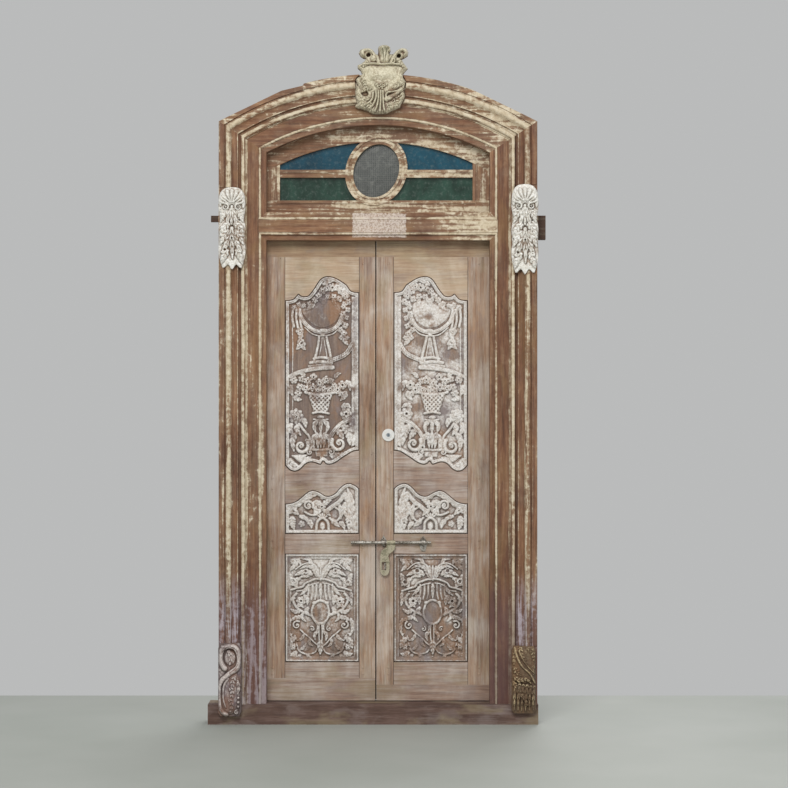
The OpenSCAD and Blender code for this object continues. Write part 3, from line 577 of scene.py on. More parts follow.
    # Scrolls on the hinge side
    r.rope([(256, 1260), (235, 1231), (212, 1205), (202, 1172), (210, 1147)], 6, 10)
    r.leaves([(248, 1281, 231, 1268, 227, 1243, 12, 12, 3), (286, 1264, 294, 1239, 277, 1210, 12, 12, 3),
              (260, 1260, 265, 1235, 248, 1210, 12, 13, 3)])
    r.flower((269, 1292), 33, 13, 8)
    r.flower((265, 1289), 17, 17, 5, turn=0.4, eye=0.4)
    r.leaf([(265, 1222), (284, 1189), (277, 1142)], 13, 12, 4)
    r.curl((246, 1166), 36, 1.15, 150, 15, 9, eye=0.26)
    r.leaf([(231, 1193), (210, 1184), (197, 1159)], 9, 11, 3)
    r.curl((210, 1140), 14, 1.3, 90, 12, 4, spin=-1)
    # Scrolls on the meeting side
    r.strap([(128, 1197), (107, 1228), (76, 1260), (38, 1281)], 9, 12)
    r.leaves([(76, 1327, 55, 1340, 34, 1327, 11, 11, 3), (38, 1289, 34, 1260, 38, 1235, 12, 11, 3)])
    r.flower((55, 1302), 28, 15, 6, eye=0.3)
    r.leaves([(71, 1256, 46, 1222, 38, 1168, 18, 14, 5), (97, 1235, 80, 1218, 67, 1193, 13, 12, 3)])
    r.curl((87, 1176), 38, 1.15, 30, 16, 9.5, spin=-1, eye=0.26)
    r.curl((119, 1140), 16, 1.3, 90, 12, 4.5)
    r.leaf([(105, 1134), (76, 1127), (42, 1147)], 10, 10, 4)
    # Leaves along the bottom
    r.patch([(288, 1126), (256, 1130), (218, 1130), (235, 1113), (250, 1096), (273, 1113)], 14, 5)
    r.leaves([(298, 1113, 286, 1092, 256, 1082, 14, 13, 4), (248, 1096, 227, 1111, 202, 1119, 10, 11, 4),
              (164, 1121, 147, 1102, 122, 1093, 10, 12, 3), (126, 1126, 97, 1116, 67, 1121, 9, 10, 4)])
    for x, z, size in [(115, 1835, 4), (242, 1604, 4), (55, 1302, 5), (246, 1166, 4), (87, 1176, 5),
                       (193, 1457, 3.5), (71, 1424, 4), (92, 1403, 3.5)]:
        r.hole((x, z), size, 7)


def carve_middle(r):
    """Leaves and ribbons about a bow, over a small arch."""
    r.leaf([(25, 811), (34, 890), (38, 945), (50, 987)], 25, 13, 6, tip=0.5)
    r.leaves([(63, 958, 46, 928, 42, 886, 12, 15, 4), (59, 928, 63, 895, 55, 861, 11, 14, 4),
              (50, 869, 44, 844, 46, 811, 15, 15, 4)])
    r.strap([(139, 888), (113, 910), (88, 928), (59, 962)], 9.5, 15, lines=2)
    r.rope([(105, 907), (84, 890), (84, 861), (105, 844), (126, 861)], 5, 12)
    r.leaf([(88, 920), (76, 890), (80, 853)], 10, 12, 3)
    r.leaf([(302, 886), (269, 920), (227, 945), (181, 958)], 20, 12, 5, tip=0.4)
    r.leaf([(307, 911), (286, 899), (256, 874)], 15, 13, 4)
    r.curl((216, 914), 24, 1.5, 200, 15, 6.5, spin=-1)
    r.leaf([(193, 932), (185, 907), (193, 882)], 10, 13, 3)
    r.rope([(231, 886), (206, 874), (181, 875), (164, 890)], 5, 13)
    r.leaves([(256, 869, 231, 861, 210, 844, 10, 11, 3), (283, 869, 284, 840, 276, 811, 15, 14, 5)])
    r.flower((244, 836), 15, 11, 5)
    r.leaves([(223, 853, 206, 836, 202, 815, 11, 11, 3), (118, 857, 105, 840, 84, 823, 11, 11, 3),
              (88, 840, 71, 832, 63, 811, 10, 11, 3), (160, 916, 181, 928, 197, 928, 12, 15, 3),
              (155, 916, 134, 932, 118, 937, 12, 15, 3), (160, 899, 181, 886, 197, 869, 10, 13, 3),
              (155, 899, 134, 882, 122, 869, 10, 13, 3)])
    r.flower((158, 909), 18, 17, 6, eye=0.35)
    r.leaf([(160, 941), (155, 953), (143, 959)], 9, 11, 3)
    r.fan((156, 857), 26, 20, 160, 5, 14)
    r.rope([(182, 811), (178, 844), (156, 861), (134, 844), (130, 811)], 6, 14)
    r.dome((156, 827), 12, 17, 10)
    for x, z in [(216, 914), (158, 909), (277, 890), (45, 840)]:
        r.hole((x, z), 3.6, 6)


def carve_lower(r, pierced):
    """Acanthus and palmette over a stepped canopy, an oval boss under it, scrolls and plain lobes at the
    foot. pierced makes the palmette taller and the eyes deeper."""
    for d in (216, 199, 183, 146, 130, 113):
        r.rope([(d, 578), (d, 545), (d + (6 if d > 165 else -6), 515)], 5, 7, tip=0.8)
    r.fan((165, 588), 74 if pierced else 62, 62, 118, 5, 17)
    for m in (1, -1):
        at = lambda x, z: (x if m > 0 else 329.6 - x, z)
        # Top: leaves that arch out from the palmette, a blade under each
        r.flower(at(45, 674), 13, 12, 6)
        r.leaf([at(29, 685), at(59, 668), at(31, 634)], 12, 11, 4)
        r.rope([at(158, 617), at(143, 655), at(118, 669), at(88, 664), at(59, 643)], 5, 14, tip=0.7)
        r.leaf([at(151, 613), at(134, 647), at(105, 657), at(76, 645)], 12, 13, 6, tip=0.4)
        r.leaf([at(130, 617), at(105, 634), at(76, 627), at(55, 616)], 12, 17, 5)
        r.leaf([at(118, 613), at(92, 615), at(71, 606)], 7, 14, 4)
        r.curl(at(48, 591), 17, 1.2, 20, 14, 5.5, spin=-m)
        r.leaves([(29, 626, 39, 605, 34, 571, 10, 11, 4), (80, 605, 63, 596, 67, 571, 9, 12, 3)], at)
        # Stepped canopy
        r.strap([at(165, 602), at(143, 601), at(123, 594), at(101, 584), at(90, 569), at(67, 563),
                 at(36, 553)], 4.4, 15)
        r.rope([at(155, 585), at(130, 580), at(109, 569), at(92, 554), at(63, 549)], 2.8, 10)
        r.leaf([at(38, 550), at(34, 525), at(39, 496)], 8, 9, 4)
        # Plant that grows up from the boss
        r.strap([at(143, 428), at(122, 449), at(92, 462), at(63, 483), at(48, 517), at(63, 539)], 5.5, 13)
        r.flower(at(82, 508), 21, 15, 7)
        r.leaves([(92, 533, 107, 517, 109, 491, 10, 12, 4), (115, 483, 105, 466, 118, 445, 9, 12, 3),
                  (84, 470, 59, 462, 38, 475, 10, 12, 4), (59, 521, 38, 512, 31, 487, 8, 12, 4)], at)
        # Scroll on the side and small ones by the stem
        r.curl(at(65, 407), 20, 1.2, 120, 15, 4.8, spin=m, eye=0.26)
        r.leaves([(88, 441, 63, 438, 38, 424, 10, 12, 4), (38, 437, 29, 399, 38, 361, 9, 11, 5)], at)
        r.rope([at(80, 386), at(97, 370), at(119, 353), at(139, 332), at(158, 317)], 4.0, 12)
        r.curl(at(128, 391), 12, 1.1, 60, 14, 3.4, spin=-m)
        r.leaf([at(155, 382), at(139, 365), at(143, 340)], 8, 12, 3)
        # Plain lobe with a band under it, leaves in the corner
        r.dome(at(99, 328), 30, 34, 6, edge=0.2)
        r.strap([at(63, 328), at(74, 298), at(105, 283), at(139, 290), at(155, 311)], 4.0, 11)
        r.leaf([at(59, 353), at(38, 336), at(29, 307)], 12, 13, 4)
        r.flower(at(49, 315), 15, 14, 6)
        r.leaves([(67, 294, 48, 281, 28, 286, 11, 12, 4), (84, 281, 67, 270, 42, 269, 8, 10, 4),
                  (35, 370, 55, 357, 67, 339, 8, 11, 4)], at)
        # Small leaves on the strands
        for twig in ([at(122, 449), at(134, 468), at(130, 496)], [at(92, 462), at(86, 441), at(105, 420)],
                     [at(63, 483), at(80, 491), at(94, 479)], [at(97, 370), at(84, 349), at(63, 340)],
                     [at(119, 353), at(118, 330), at(136, 315)], [at(105, 283), at(122, 267), at(144, 265)],
                     [at(143, 428), at(155, 403), at(147, 382)], [at(109, 571), at(97, 548), at(76, 531)],
                     [at(67, 563), at(55, 577), at(31, 575)], [at(76, 302), at(92, 311), at(105, 332)],
                     [at(130, 664), at(113, 686), at(88, 685)], [at(80, 664), at(67, 686), at(46, 690)]):
            r.leaf(twig, 7.5, 12, 3)
        for x, z, size in [(101, 637, 5), (48, 591, 4), (82, 508, 4), (50, 364, 5), (63, 312, 4)]:
            r.hole(at(x, z), size * (1.5 if pierced else 1), 10 if pierced else 7)
    # Boss, its shouldered rim, the stem and the knot
    r.ring((165, 462), 37, 49, 5, 14)
    r.dome((192, 501), 10, 8, 16)
    r.dome((138, 501), 10, 8, 16)
    r.dome((165, 462), 32, 44, 11, edge=0.3)
    r.leaf([(165, 584), (165, 554), (165, 517)], 8, 12, 4)
    r.rope([(170, 412), (172, 374), (169, 328)], 3.4, 13)
    r.rope([(160, 412), (157, 374), (160, 328)], 3.4, 13)
    r.leaf([(165, 344), (165, 319), (165, 281)], 13, 17, 4)
    r.dome((165, 269), 6, 8, 12)


def panel(side, name, outline, heights, carve, beads, paint, seed):
    """One carved panel: relief on a flat back with a tongue all round."""
    rim = outline(0)
    r = Relief((-2, PANEL_W + 2, *heights), 1.7, seed)
    carve(r)
    r.moulding(rim, beads)
    r.wear()
    r.rim = reach_in(rim, r.x, r.z)[0]
    # The bare ground lies level inside the rim, and the rim itself stays under the stiles
    r.h = np.where(r.rim > 2, np.maximum(r.h, -0.6), np.minimum(r.h, 12))
    x0 = PANEL_X[side]
    left = side == "left"
    place = (lambda d: x0 - d) if left else (lambda d: x0 + d)
    thing = carved_mesh(f"{side}_{name}_carving", r, rim, place, GROUND_Y, BED_Y, paint, flip=left)
    back = outline(TONGUE)
    add_slab(thing, [(place(d), z) for d, z in (back[::-1] if left else back)], TONGUE_Y, PANEL_BACK)
    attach(thing, f"{side}_leaf")
    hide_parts(f"{side}_{name}_panel")
    return thing


def add_slab(thing, line, y0, y1):
    """Flat slab behind the carving, in the same mesh. The line runs round it as seen from the front."""
    bm = bmesh.new()
    bm.from_mesh(thing.data)
    front = [bm.verts.new((x * MM, y0 * MM, z * MM)) for x, z in line]
    rear = [bm.verts.new((x * MM, y1 * MM, z * MM)) for x, z in line]
    bm.faces.new(front)
    bm.faces.new(rear[::-1])
    for k in range(len(line)):
        j = (k + 1) % len(line)
        bm.faces.new([front[j], front[k], rear[k], rear[j]])
    bm.to_mesh(thing.data)
    bm.free()


# ---------------------------------------------------------------- the frame's carvings


def rim_round(r, outline, edge, depth):
    """Rounds a carved block off towards its rim."""
    t = np.clip(reach_in(outline, r.x, r.z)[0] / edge, 0, 1)
    r.h = np.minimum(r.h, r.h * t ** 0.5 + depth * (1 - t ** 0.5) * 0.4)


def carve_capital(r, at, k):
    """Palmette over two eyes, and a long leaf that hangs below. at() maps shares of the block to places."""
    r.h += 12
    r.fan(at(0.5, 0.77), 72 * k, 8, 172, 9, 30)
    r.fan(at(0.5, 0.80), 50 * k, 25, 155, 5, 33)
    r.leaves([(0.12, 0.95, 0.05, 0.86, 0.08, 0.76, 13, 27, 4),
              (0.88, 0.97, 0.96, 0.86, 0.92, 0.74, 14, 28, 4)], at, k)
    for s in (-1, 1):
        e = lambda x, z: at(0.5 + s * x, z)
        r.leaves([(0.05, 0.74, 0.12, 0.63, 0.2, 0.52, 10, 29, 3),
                  (0.16, 0.72, 0.3, 0.66, 0.42, 0.57, 12, 27, 4),
                  (0.3, 0.72, 0.42, 0.68, 0.46, 0.6, 10, 25, 3)], e, k)
        r.curl(e(0.24, 0.755), 17 * k, 1.3, 90, 30, 5.5, spin=s)
        r.leaves([(0.08, 0.56, 0.3, 0.5, 0.44, 0.4, 14, 28, 4),
                  (0.1, 0.48, 0.28, 0.4, 0.44, 0.3, 14, 28, 4),
                  (0.06, 0.42, 0.2, 0.3, 0.36, 0.2, 13, 30, 4),
                  (0.14, 0.24, 0.3, 0.15, 0.42, 0.05, 13, 28, 4)], e, k)
        r.curl(e(0.3, 0.22), 12 * k, 1.2, 200, 29, 4.5, spin=-s)
    r.leaves([(0.5, 0.78, 0.5, 0.66, 0.5, 0.5, 8, 31, 4), (0.5, 0.52, 0.5, 0.34, 0.52, 0.12, 12, 33, 5)],
             at, k)
    for x, z, size in [(0.26, 0.755, 7), (0.74, 0.755, 7), (0.5, 0.53, 4.5), (0.24, 0.24, 5),
                       (0.5, 0.38, 3.5), (0.78, 0.6, 3)]:
        r.hole(at(x, z), size * k, 14)


def carve_scroll_console(r, at, k):
    """Broad scroll rolled over a boss, running down into a long leaf that swells to the left."""
    r.h += 10
    r.patch([at(0.62, 0.62), at(0.2, 0.5), at(0.06, 0.3), at(0.2, 0.06), at(0.55, 0.03), at(0.88, 0.1),
             at(0.95, 0.35), at(0.85, 0.56)], 24, 24)
    r.dome(at(0.52, 0.8), 24 * k, 32 * k, 25)
    r.leaf([at(0.42, 0.9), at(0.56, 0.82), at(0.5, 0.7)], 11 * k, 31, 3)
    r.rope([at(0.3, 0.66), at(0.12, 0.76), at(0.16, 0.9), at(0.44, 0.965), at(0.78, 0.93), at(0.93, 0.8),
            at(0.84, 0.67), at(0.5, 0.585), at(0.22, 0.51)], 11.5 * k, 33)
    r.groove([at(0.2, 0.88), at(0.46, 0.955), at(0.76, 0.92), at(0.9, 0.8), at(0.8, 0.68), at(0.5, 0.595)],
             1.8, 5)
    r.rope([at(0.24, 0.52), at(0.06, 0.42), at(0.03, 0.25), at(0.14, 0.1), at(0.36, 0.03)], 11 * k, 31)
    r.rope([at(0.44, 0.52), at(0.26, 0.42), at(0.24, 0.26), at(0.36, 0.13)], 6.5 * k, 30, tip=0.6)
    r.leaves([(0.74, 0.56, 0.62, 0.46, 0.66, 0.36, 12, 31, 4),
              (0.5, 0.42, 0.62, 0.34, 0.58, 0.22, 12, 32, 4),
              (0.46, 0.26, 0.6, 0.18, 0.54, 0.06, 12, 31, 4),
              (0.84, 0.5, 0.9, 0.4, 0.84, 0.3, 9, 29, 3)], at, k)
    for z in (0.14, 0.2, 0.26):
        r.dome(at(0.88, z), 5.5, 6, 30)
    r.curl(at(0.82, 0.065), 12 * k, 1.1, 90, 30, 4.5)
    r.dome(at(0.2, 0.955), 8, 6, 26)


def carve_leaf_console(r, at, k):
    """Acanthus: blades sweep down and across from the top left, and turn over above a ribbed foot."""
    r.h += 11
    r.patch([at(0.04, 0.97), at(0.96, 0.97), at(0.96, 0.5), at(0.5, 0.44), at(0.04, 0.5)], 22, 14,
            smooth=False)
    r.leaves([(0.22, 0.98, 0.1, 0.86, 0.08, 0.72, 13, 27, 5),
              (0.62, 0.98, 0.86, 0.92, 0.92, 0.78, 15, 28, 5),
              (0.36, 0.98, 0.42, 0.84, 0.72, 0.7, 13, 30, 6, 0.3)], at, k)
    r.rope([at(0.12, 0.97), at(0.22, 0.84), at(0.42, 0.71), at(0.74, 0.6), at(0.95, 0.46)], 7 * k, 33,
           tip=0.6)
    r.rope([at(0.3, 0.93), at(0.46, 0.8), at(0.72, 0.68), at(0.94, 0.6)], 5 * k, 31, tip=0.5)
    r.leaves([(0.1, 0.7, 0.26, 0.6, 0.5, 0.58, 13, 30, 5), (0.92, 0.74, 0.84, 0.62, 0.9, 0.52, 10, 27, 4)],
             at, k)
    r.leaf([at(0.08, 0.56), at(0.3, 0.5), at(0.58, 0.52), at(0.8, 0.45)], 12 * k, 33, 6, tip=0.4)
    r.leaf([at(0.06, 0.48), at(0.2, 0.4), at(0.46, 0.38)], 11 * k, 31, 4)
    for step in range(6):
        s = step * 0.155
        r.leaf([at(0.16 + s, 0.44 - s * 0.06), at(0.12 + s, 0.27), at(0.1 + s, 0.04)], (9 + step % 2) * k,
               27 + 3 * (step % 2), 4, tip=0.7)
    r.leaf([at(0.3, 0.3), at(0.5, 0.24), at(0.66, 0.12)], 9 * k, 31, 4)


def carve_crest(r, outline):
    """Scrolled cartouche: two scrolls and a knob over a plain crazed field, leaf work round its foot."""
    r.patch(outline, 34, 14, smooth=False)
    # Leaf tips round the sides and the foot
    for tip in ([(-74, 2694), (-83, 2680), (-93, 2657)], [(-77, 2648), (-90, 2629), (-99, 2589)],
                [(-67, 2624), (-69, 2596), (-55, 2575)], [(-34, 2610), (-37, 2589), (-32, 2563)],
                [(99, 2694), (108, 2680), (112, 2657)], [(99, 2652), (103, 2624), (91, 2585)],
                [(71, 2617), (78, 2597), (72, 2578)], [(43, 2603), (50, 2583), (36, 2563)]):
        r.leaf(tip, 14, 45, 4)
    # Bands that run down from the ears and turn in
    r.strap([(-83, 2751), (-66, 2736), (-69, 2715), (-80, 2699), (-72, 2675), (-59, 2660)], 8, 48, lines=2)
    r.strap([(121, 2750), (105, 2732), (101, 2715), (105, 2698), (91, 2678), (71, 2666)], 8, 48, lines=2)
    r.leaves([(95, 2694, 85, 2678, 56, 2666, 11, 50, 4), (-67, 2701, -55, 2683, -55, 2664, 11, 49, 4)])
    # Plain field with a ragged lower lip
    r.patch([(-60, 2759), (-23, 2763), (15, 2761), (54, 2764), (91, 2759), (84, 2743), (90, 2722),
             (79, 2701), (57, 2689), (40, 2695), (19, 2683), (1, 2693), (-23, 2687), (-46, 2699),
             (-52, 2722), (-49, 2743)], 46, 26)
    r.leaves([(12, 2685, 15, 2674, 19, 2659, 10, 51, 3), (40, 2688, 29, 2678, 14, 2666, 8, 50, 3),
              (-6, 2687, -2, 2673, 8, 2662, 8, 50, 3)])
    # Ribs that spread towards the foot
    for rib in ([(-20, 2645), (-23, 2620), (-37, 2603), (-57, 2592)],
                [(-8, 2652), (-8, 2624), (-22, 2592), (-40, 2577)],
                [(2, 2652), (2, 2620), (-4, 2589), (-13, 2568)],
                [(12, 2652), (12, 2620), (10, 2589), (8, 2563)],
                [(21, 2652), (22, 2620), (24, 2589), (29, 2568)]):
        r.rope(rib, 5, 52)
    # Undercut on the left with leaves folded over it, a curled strand and a leaf on the right
    r.dome((-55, 2642), 16, 11, 20, lean=-20, over=True)
    r.leaves([(-21, 2666, -44, 2662, -70, 2647, 11, 51, 4), (-30, 2619, -51, 2618, -74, 2632, 9, 49, 3)])
    r.rope([(36, 2618), (63, 2631), (97, 2658)], 13, 54, tip=0.75)
    r.rope([(91, 2654), (66, 2648), (42, 2645), (34, 2631), (43, 2616), (58, 2622)], 5, 56)
    r.leaf([(57, 2613), (71, 2624), (92, 2631)], 9, 50, 3)
    # Ledge, knob and scrolls
    r.rope([(-63, 2762), (-23, 2766), (15, 2763), (54, 2766), (95, 2761)], 5, 52)
    r.patch([(6, 2769), (4, 2806), (2, 2832), (12, 2845), (28, 2848), (43, 2845), (52, 2832), (49, 2806),
             (47, 2769)], 56, 26)
    r.groove([(23, 2774), (22, 2802), (18, 2828)], 1.8, 6)
    r.groove([(31, 2774), (33, 2802), (38, 2827)], 1.8, 6)
    r.rope([(36, 2834), (45, 2837), (50, 2829), (46, 2821)], 4, 57)
    r.rope([(2, 2769), (-8, 2797), (-26, 2818), (-47, 2824), (-64, 2818), (-64, 2803)], 10, 51)
    r.rope([(57, 2772), (71, 2800), (85, 2818), (106, 2824), (120, 2813), (115, 2799)], 10, 51)
    r.groove([(-4, 2774), (-13, 2798), (-28, 2814), (-47, 2818)], 1.5, 4)
    r.groove([(63, 2778), (76, 2800), (88, 2814), (106, 2818)], 1.5, 4)
    r.dome((-18, 2787), 15, 17, 54)
    r.curl((60, 2777), 14, 1.1, 60, 55, 4.5, spin=-1)
    r.leaves([(-47, 2783, -63, 2769, -85, 2755, 12, 49, 4), (85, 2779, 105, 2765, 123, 2748, 12, 49, 4),
              (-34, 2769, -51, 2767, -63, 2750, 11, 50, 3), (78, 2767, 94, 2767, 106, 2750, 11, 50, 3)])
    rim_round(r, outline, 9, 20)
    # Shallow floors for the pits, whose dark is painted shadow
    for place in CREST_PAINTED_SHADOW_PITS:
        r.dome(place, 9, 8, 1.5, lean=25, over=True)
    r.h += 2.0 * noise(r.x, r.z, 24, 91) + 0.8 * noise(r.x, r.z, 9, 92)


# ---------------------------------------------------------------- carvings in their places


def share_of(box):
    """Maps shares of a box to places in it."""
    x0, x1, z0, z1 = box
    return lambda a, b: (x0 + a * (x1 - x0), z0 + b * (z1 - z0))


CAPITAL_RIM = [(0.5, 1), (0.2, 0.98), (0.03, 0.9), (0, 0.75), (0.05, 0.62), (0, 0.5), (0.02, 0.35),
               (0, 0.2), (0.15, 0.02), (0.35, 0.06), (0.5, 0), (0.65, 0.06), (0.85, 0.02), (1, 0.2),
               (0.98, 0.35), (1, 0.5), (0.95, 0.62), (1, 0.75), (0.97, 0.9), (0.8, 0.98)]
CONSOLE_RIM = [(0.08, 1), (0, 0.93), (0, 0.05), (0.1, 0), (0.9, 0), (1, 0.06), (1, 0.93), (0.92, 1)]
CREST_RIM = [(-12, 7), (-36, 9), (-54, 19), (-75, 27), (-99, 33), (-110, 40), (-100, 53), (-106, 74),
             (-110, 102), (-99, 128), (-107, 150), (-103, 160), (-86, 165), (-80, 175), (-86, 189),
             (-98, 199), (-99, 213), (-85, 217), (-69, 231), (-66, 239), (-76, 242), (-87, 250), (-94, 264),
             (-87, 278), (-68, 284), (-47, 284), (-33, 275), (-22, 259), (-14, 257), (-12, 270), (-13, 284),
             (-8, 293), (6, 298), (23, 298), (37, 291), (40, 273), (35, 261), (51, 260), (65, 275),
             (86, 285), (107, 282), (114, 268), (112, 252), (99, 243), (87, 237), (93, 224), (104, 210),
             (112, 198), (101, 186), (91, 172), (93, 158), (104, 144), (99, 123), (98, 102), (100, 81),
             (90, 60), (78, 34), (58, 26), (44, 20), (23, 10)]
# Where limewash is rubbed away or left, beside the base share: across, up, radius, amount
RUBBED = {"left_upper": [(155, 1722, 75, -0.5), (172, 1432, 90, -0.12), (164, 1193, 60, -0.25),
                         (256, 1113, 30, 0.6), (248, 1163, 26, 0.25), (25, 1445, 20, 0.4),
                         (25, 1193, 20, 0.4), (80, 1827, 30, 0.35), (80, 1277, 30, 0.2)],
          "right_upper": [(155, 1743, 30, 0.1), (151, 1714, 18, -0.8), (164, 1676, 12, -0.5),
                          (111, 1606, 24, -0.5), (55, 1522, 28, -0.5), (244, 1558, 30, -0.5),
                          (38, 1676, 18, -0.5), (31, 1420, 20, -0.5), (267, 1688, 16, -0.5),
                          (262, 1432, 16, -0.5), (216, 1312, 18, -0.5), (103, 1331, 18, -0.5),
                          (237, 1243, 20, -0.5), (166, 1144, 16, -0.5), (97, 1214, 16, -0.5)],
          "left_middle": [(67, 962, 45, 0.4), (76, 941, 12, -0.7), (126, 886, 14, -0.6),
                          (248, 823, 40, -0.3)],
          "right_middle": [(67, 962, 40, 0.3), (248, 857, 40, -0.2)],
          "left_lower": [(168, 626, 110, 0.25), (168, 466, 34, -0.6), (227, 332, 38, -0.5),
                         (97, 323, 38, -0.5), (168, 269, 90, -0.3), (168, 697, 60, 0.2)],
          "right_lower": [(168, 643, 85, 0.36), (67, 521, 40, 0.2), (168, 466, 34, -0.5),
                          (235, 428, 20, 0.6), (168, 311, 100, -0.22), (88, 592, 20, 0.5)]}
CREST_FOOT = (13, 2550)
# Pits in the crest's scrolls, painted near black as painted shadow: across, up
CREST_PAINTED_SHADOW_PITS = [(-40, 2803), (87, 2800)]


def on_frame(name, relief, outline, front, back, paint):
    """Carved piece in place of a node of the frame. front and back are the Y of its ground and back."""
    thing = carved_mesh(name + "_carving", relief, outline, lambda x: x, front, back, paint)
    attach(thing, "frame")
    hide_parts(name)
    return thing


def build_carvings():
    """All the carved pieces: the leaves' panels, then the frame's blocks."""
    made = []
    edge = [(0, -0.6), (3, -0.4), (5, -0.14), (9, -0.16), (12, 0.1), (17, 0.16), (21, 0)]
    broad = [(0, -0.6), (3, -0.4), (5, -0.14), (10, -0.2), (19, -0.16), (22, -0.06), (26, 0)]
    for side, seed, left in (("left", 10, True), ("right", 40, False)):
        upper = lime_and_painted_light(0.4 if left else 0.66, RUBBED[side + "_upper"], -0.42 if left else -0.1, edge)
        middle = lime_and_painted_light(0.6 if left else 0.66, RUBBED[side + "_middle"], -0.12, edge)
        lower = lime_and_painted_light(0.5 if left else 0.26, RUBBED[side + "_lower"], 0.02 if left else -0.1, broad)
        foot = lambda r: carve_lower(r, pierced=not left)
        high = panel(side, "upper", upper_outline, (1050, 1890), carve_upper, NARROW_BEAD, upper, seed)
        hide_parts(f"{side}_panel_mouldings")
        made.append(high)
        made.append(panel(side, "middle", middle_outline, (790, 1014), carve_middle, NARROW_BEAD,
                          middle, seed + 1))
        made.append(panel(side, "lower", lower_outline, (247, 713), foot, BROAD_BEVEL, lower, seed + 2))

    shell = lime_and_painted_light(0.6, [(-610, 2200, 50, 0.4), (-612, 2080, 55, -0.16), (-610, 2000, 50, -0.3),
                          (-652, 1935, 24, 0.3), (-572, 1935, 24, 0.3)])
    other = lime_and_painted_light(0.6, [(614, 2215, 45, 0.4), (614, 2100, 60, -0.12), (614, 2010, 50, -0.2),
                          (580, 1935, 30, 0.3), (655, 1915, 30, 0.3)])
    left_foot = lime_and_painted_light(0.16, [(-620, 285, 60, 0.3), (-650, 200, 25, 0.2)], -0.2)
    right_foot = lime_and_painted_light(0.02, [(600, 300, 30, 0.1)], -0.2)
    capital = curve(CAPITAL_RIM, 3, closed=True)
    # Name, rim, carving and its size, box across and up, back, limewash with its painted highlight and
    # shade
    carvings = [
        ("left_capital", capital, carve_capital, 1.0, (-667, -554, 1907, 2251), CAPITAL_BACK_Y, shell),
        ("right_capital", capital, carve_capital, 1.02, (558, 671, 1886, 2264), CAPITAL_BACK_Y, other),
        ("left_base_console", CONSOLE_RIM, carve_scroll_console, 0.95, (-668, -572, 38, 344),
         CONSOLE_BACK_Y, left_foot),
        ("right_base_console", CONSOLE_RIM, carve_leaf_console, 1.0, (559, 660, 50, 332),
         CONSOLE_BACK_Y, right_foot),
    ]
    for seed, (name, rim, carve, size, box, back, paint) in enumerate(carvings, 71):
        at = share_of(box)
        outline = np.array([at(a, b) for a, b in rim])
        r = Relief((box[0] - 4, box[1] + 4, box[2] - 4, box[3] + 4), 1.2, seed, wobble=1.0)
        carve(r, at, size)
        rim_round(r, outline, 11, 14)
        r.wear(0.3, 0.3)
        made.append(on_frame(name, r, outline, BLOCK_GROUND_Y, back, paint))

    crest_rim = np.array([(CREST_FOOT[0] + x, CREST_FOOT[1] + z) for x, z in CREST_RIM], float)
    r = Relief((-102, 132, 2546, 2856), 1.3, 75, wobble=1.0)
    carve_crest(r, crest_rim)
    r.wear(0.4, 0.6)
    rubbed = [(-55, 2643, 16, -0.8), (66, 2637, 22, -0.6), (27, 2823, 26, -0.6), (-34, 2814, 24, -0.25),
              (106, 2811, 24, -0.2), (15, 2671, 16, -0.3), (15, 2729, 60, 0.12), (-83, 2610, 20, 0.2)]
    paint = lime_and_painted_light(0.62, rubbed, painted_shadow_pits=CREST_PAINTED_SHADOW_PITS)
    made.append(on_frame("crest", r, crest_rim, CREST_GROUND_Y, CREST_BACK_Y, paint))
    return made


# ---------------------------------------------------------------- materials


def add(tree, kind, links=(), stops=(), **settings):
    """Adds a node: its settings, its colour stops, and what its sockets hold or take.

    A list fills the open sockets in order. A node stands for its own first open output."""
    node = tree.nodes.new(kind)
    for key, value in settings.items():
        setattr(node, key, value)
    if stops:
        ramp = node.color_ramp
        while len(ramp.elements) > 1:
            ramp.elements.remove(ramp.elements[-1])
        for k, (place, value) in enumerate(stops):
            element = ramp.elements[0] if k == 0 else ramp.elements.new(place)
            element.position = place
            element.color = linear(value) if isinstance(value, str) else [value, value, value, 1]
    if isinstance(links, dict):
        pairs = [(node.inputs[key], value) for key, value in links.items()]
    else:
        pairs = zip([socket for socket in node.inputs if socket.enabled], links)
    for socket, value in pairs:
        if isinstance(value, bpy.types.Node):
            value = next(out for out in value.outputs if out.enabled)
        if isinstance(value, bpy.types.NodeSocket):
            tree.links.new(value, socket)
        else:
            socket.default_value = value
    return node


def begin(name):
    """New material with an empty tree."""
    material = bpy.data.materials.new(name)
    material.use_nodes = True
    material.node_tree.nodes.clear()
    return material, material.node_tree


def surface(material, colour, rough, height=None, depth=0.0, **look):
    """The shader, with its colour and a bump that is depth millimetres high."""
    tree = material.node_tree
    if height:
        look["Normal"] = add(tree, "ShaderNodeBump", {"Strength": 1.0, "Distance": depth * MM,
                                                      "Height": height})
    shader = add(tree, "ShaderNodeBsdfPrincipled", {"Base Color": colour, "Roughness": rough, **look})
    add(tree, "ShaderNodeOutputMaterial", {"Surface": shader})
    return material


def field(tree, scale, size, detail, rough=0.55, warp=0.0, seed=0.0):
    """Noise in the object's own space. scale stretches it; size is a feature's width in millimetres."""
    where = add(tree, "ShaderNodeTexCoord").outputs["Object"]
    place = add(tree, "ShaderNodeMapping", {"Vector": where, "Scale": scale,
                                            "Location": (seed, seed * 0.7, -seed)})
    return add(tree, "ShaderNodeTexNoise", {"Vector": place, "Scale": 1000 / size, "Detail": detail,
                                            "Roughness": rough, "Distortion": warp})


def weigh(tree, *parts):
    """Sum of values, each times its weight."""
    total = 0.0
    for value, weight in parts:
        total = add(tree, "ShaderNodeMath", [value, weight, total], operation="MULTIPLY_ADD")
    return total


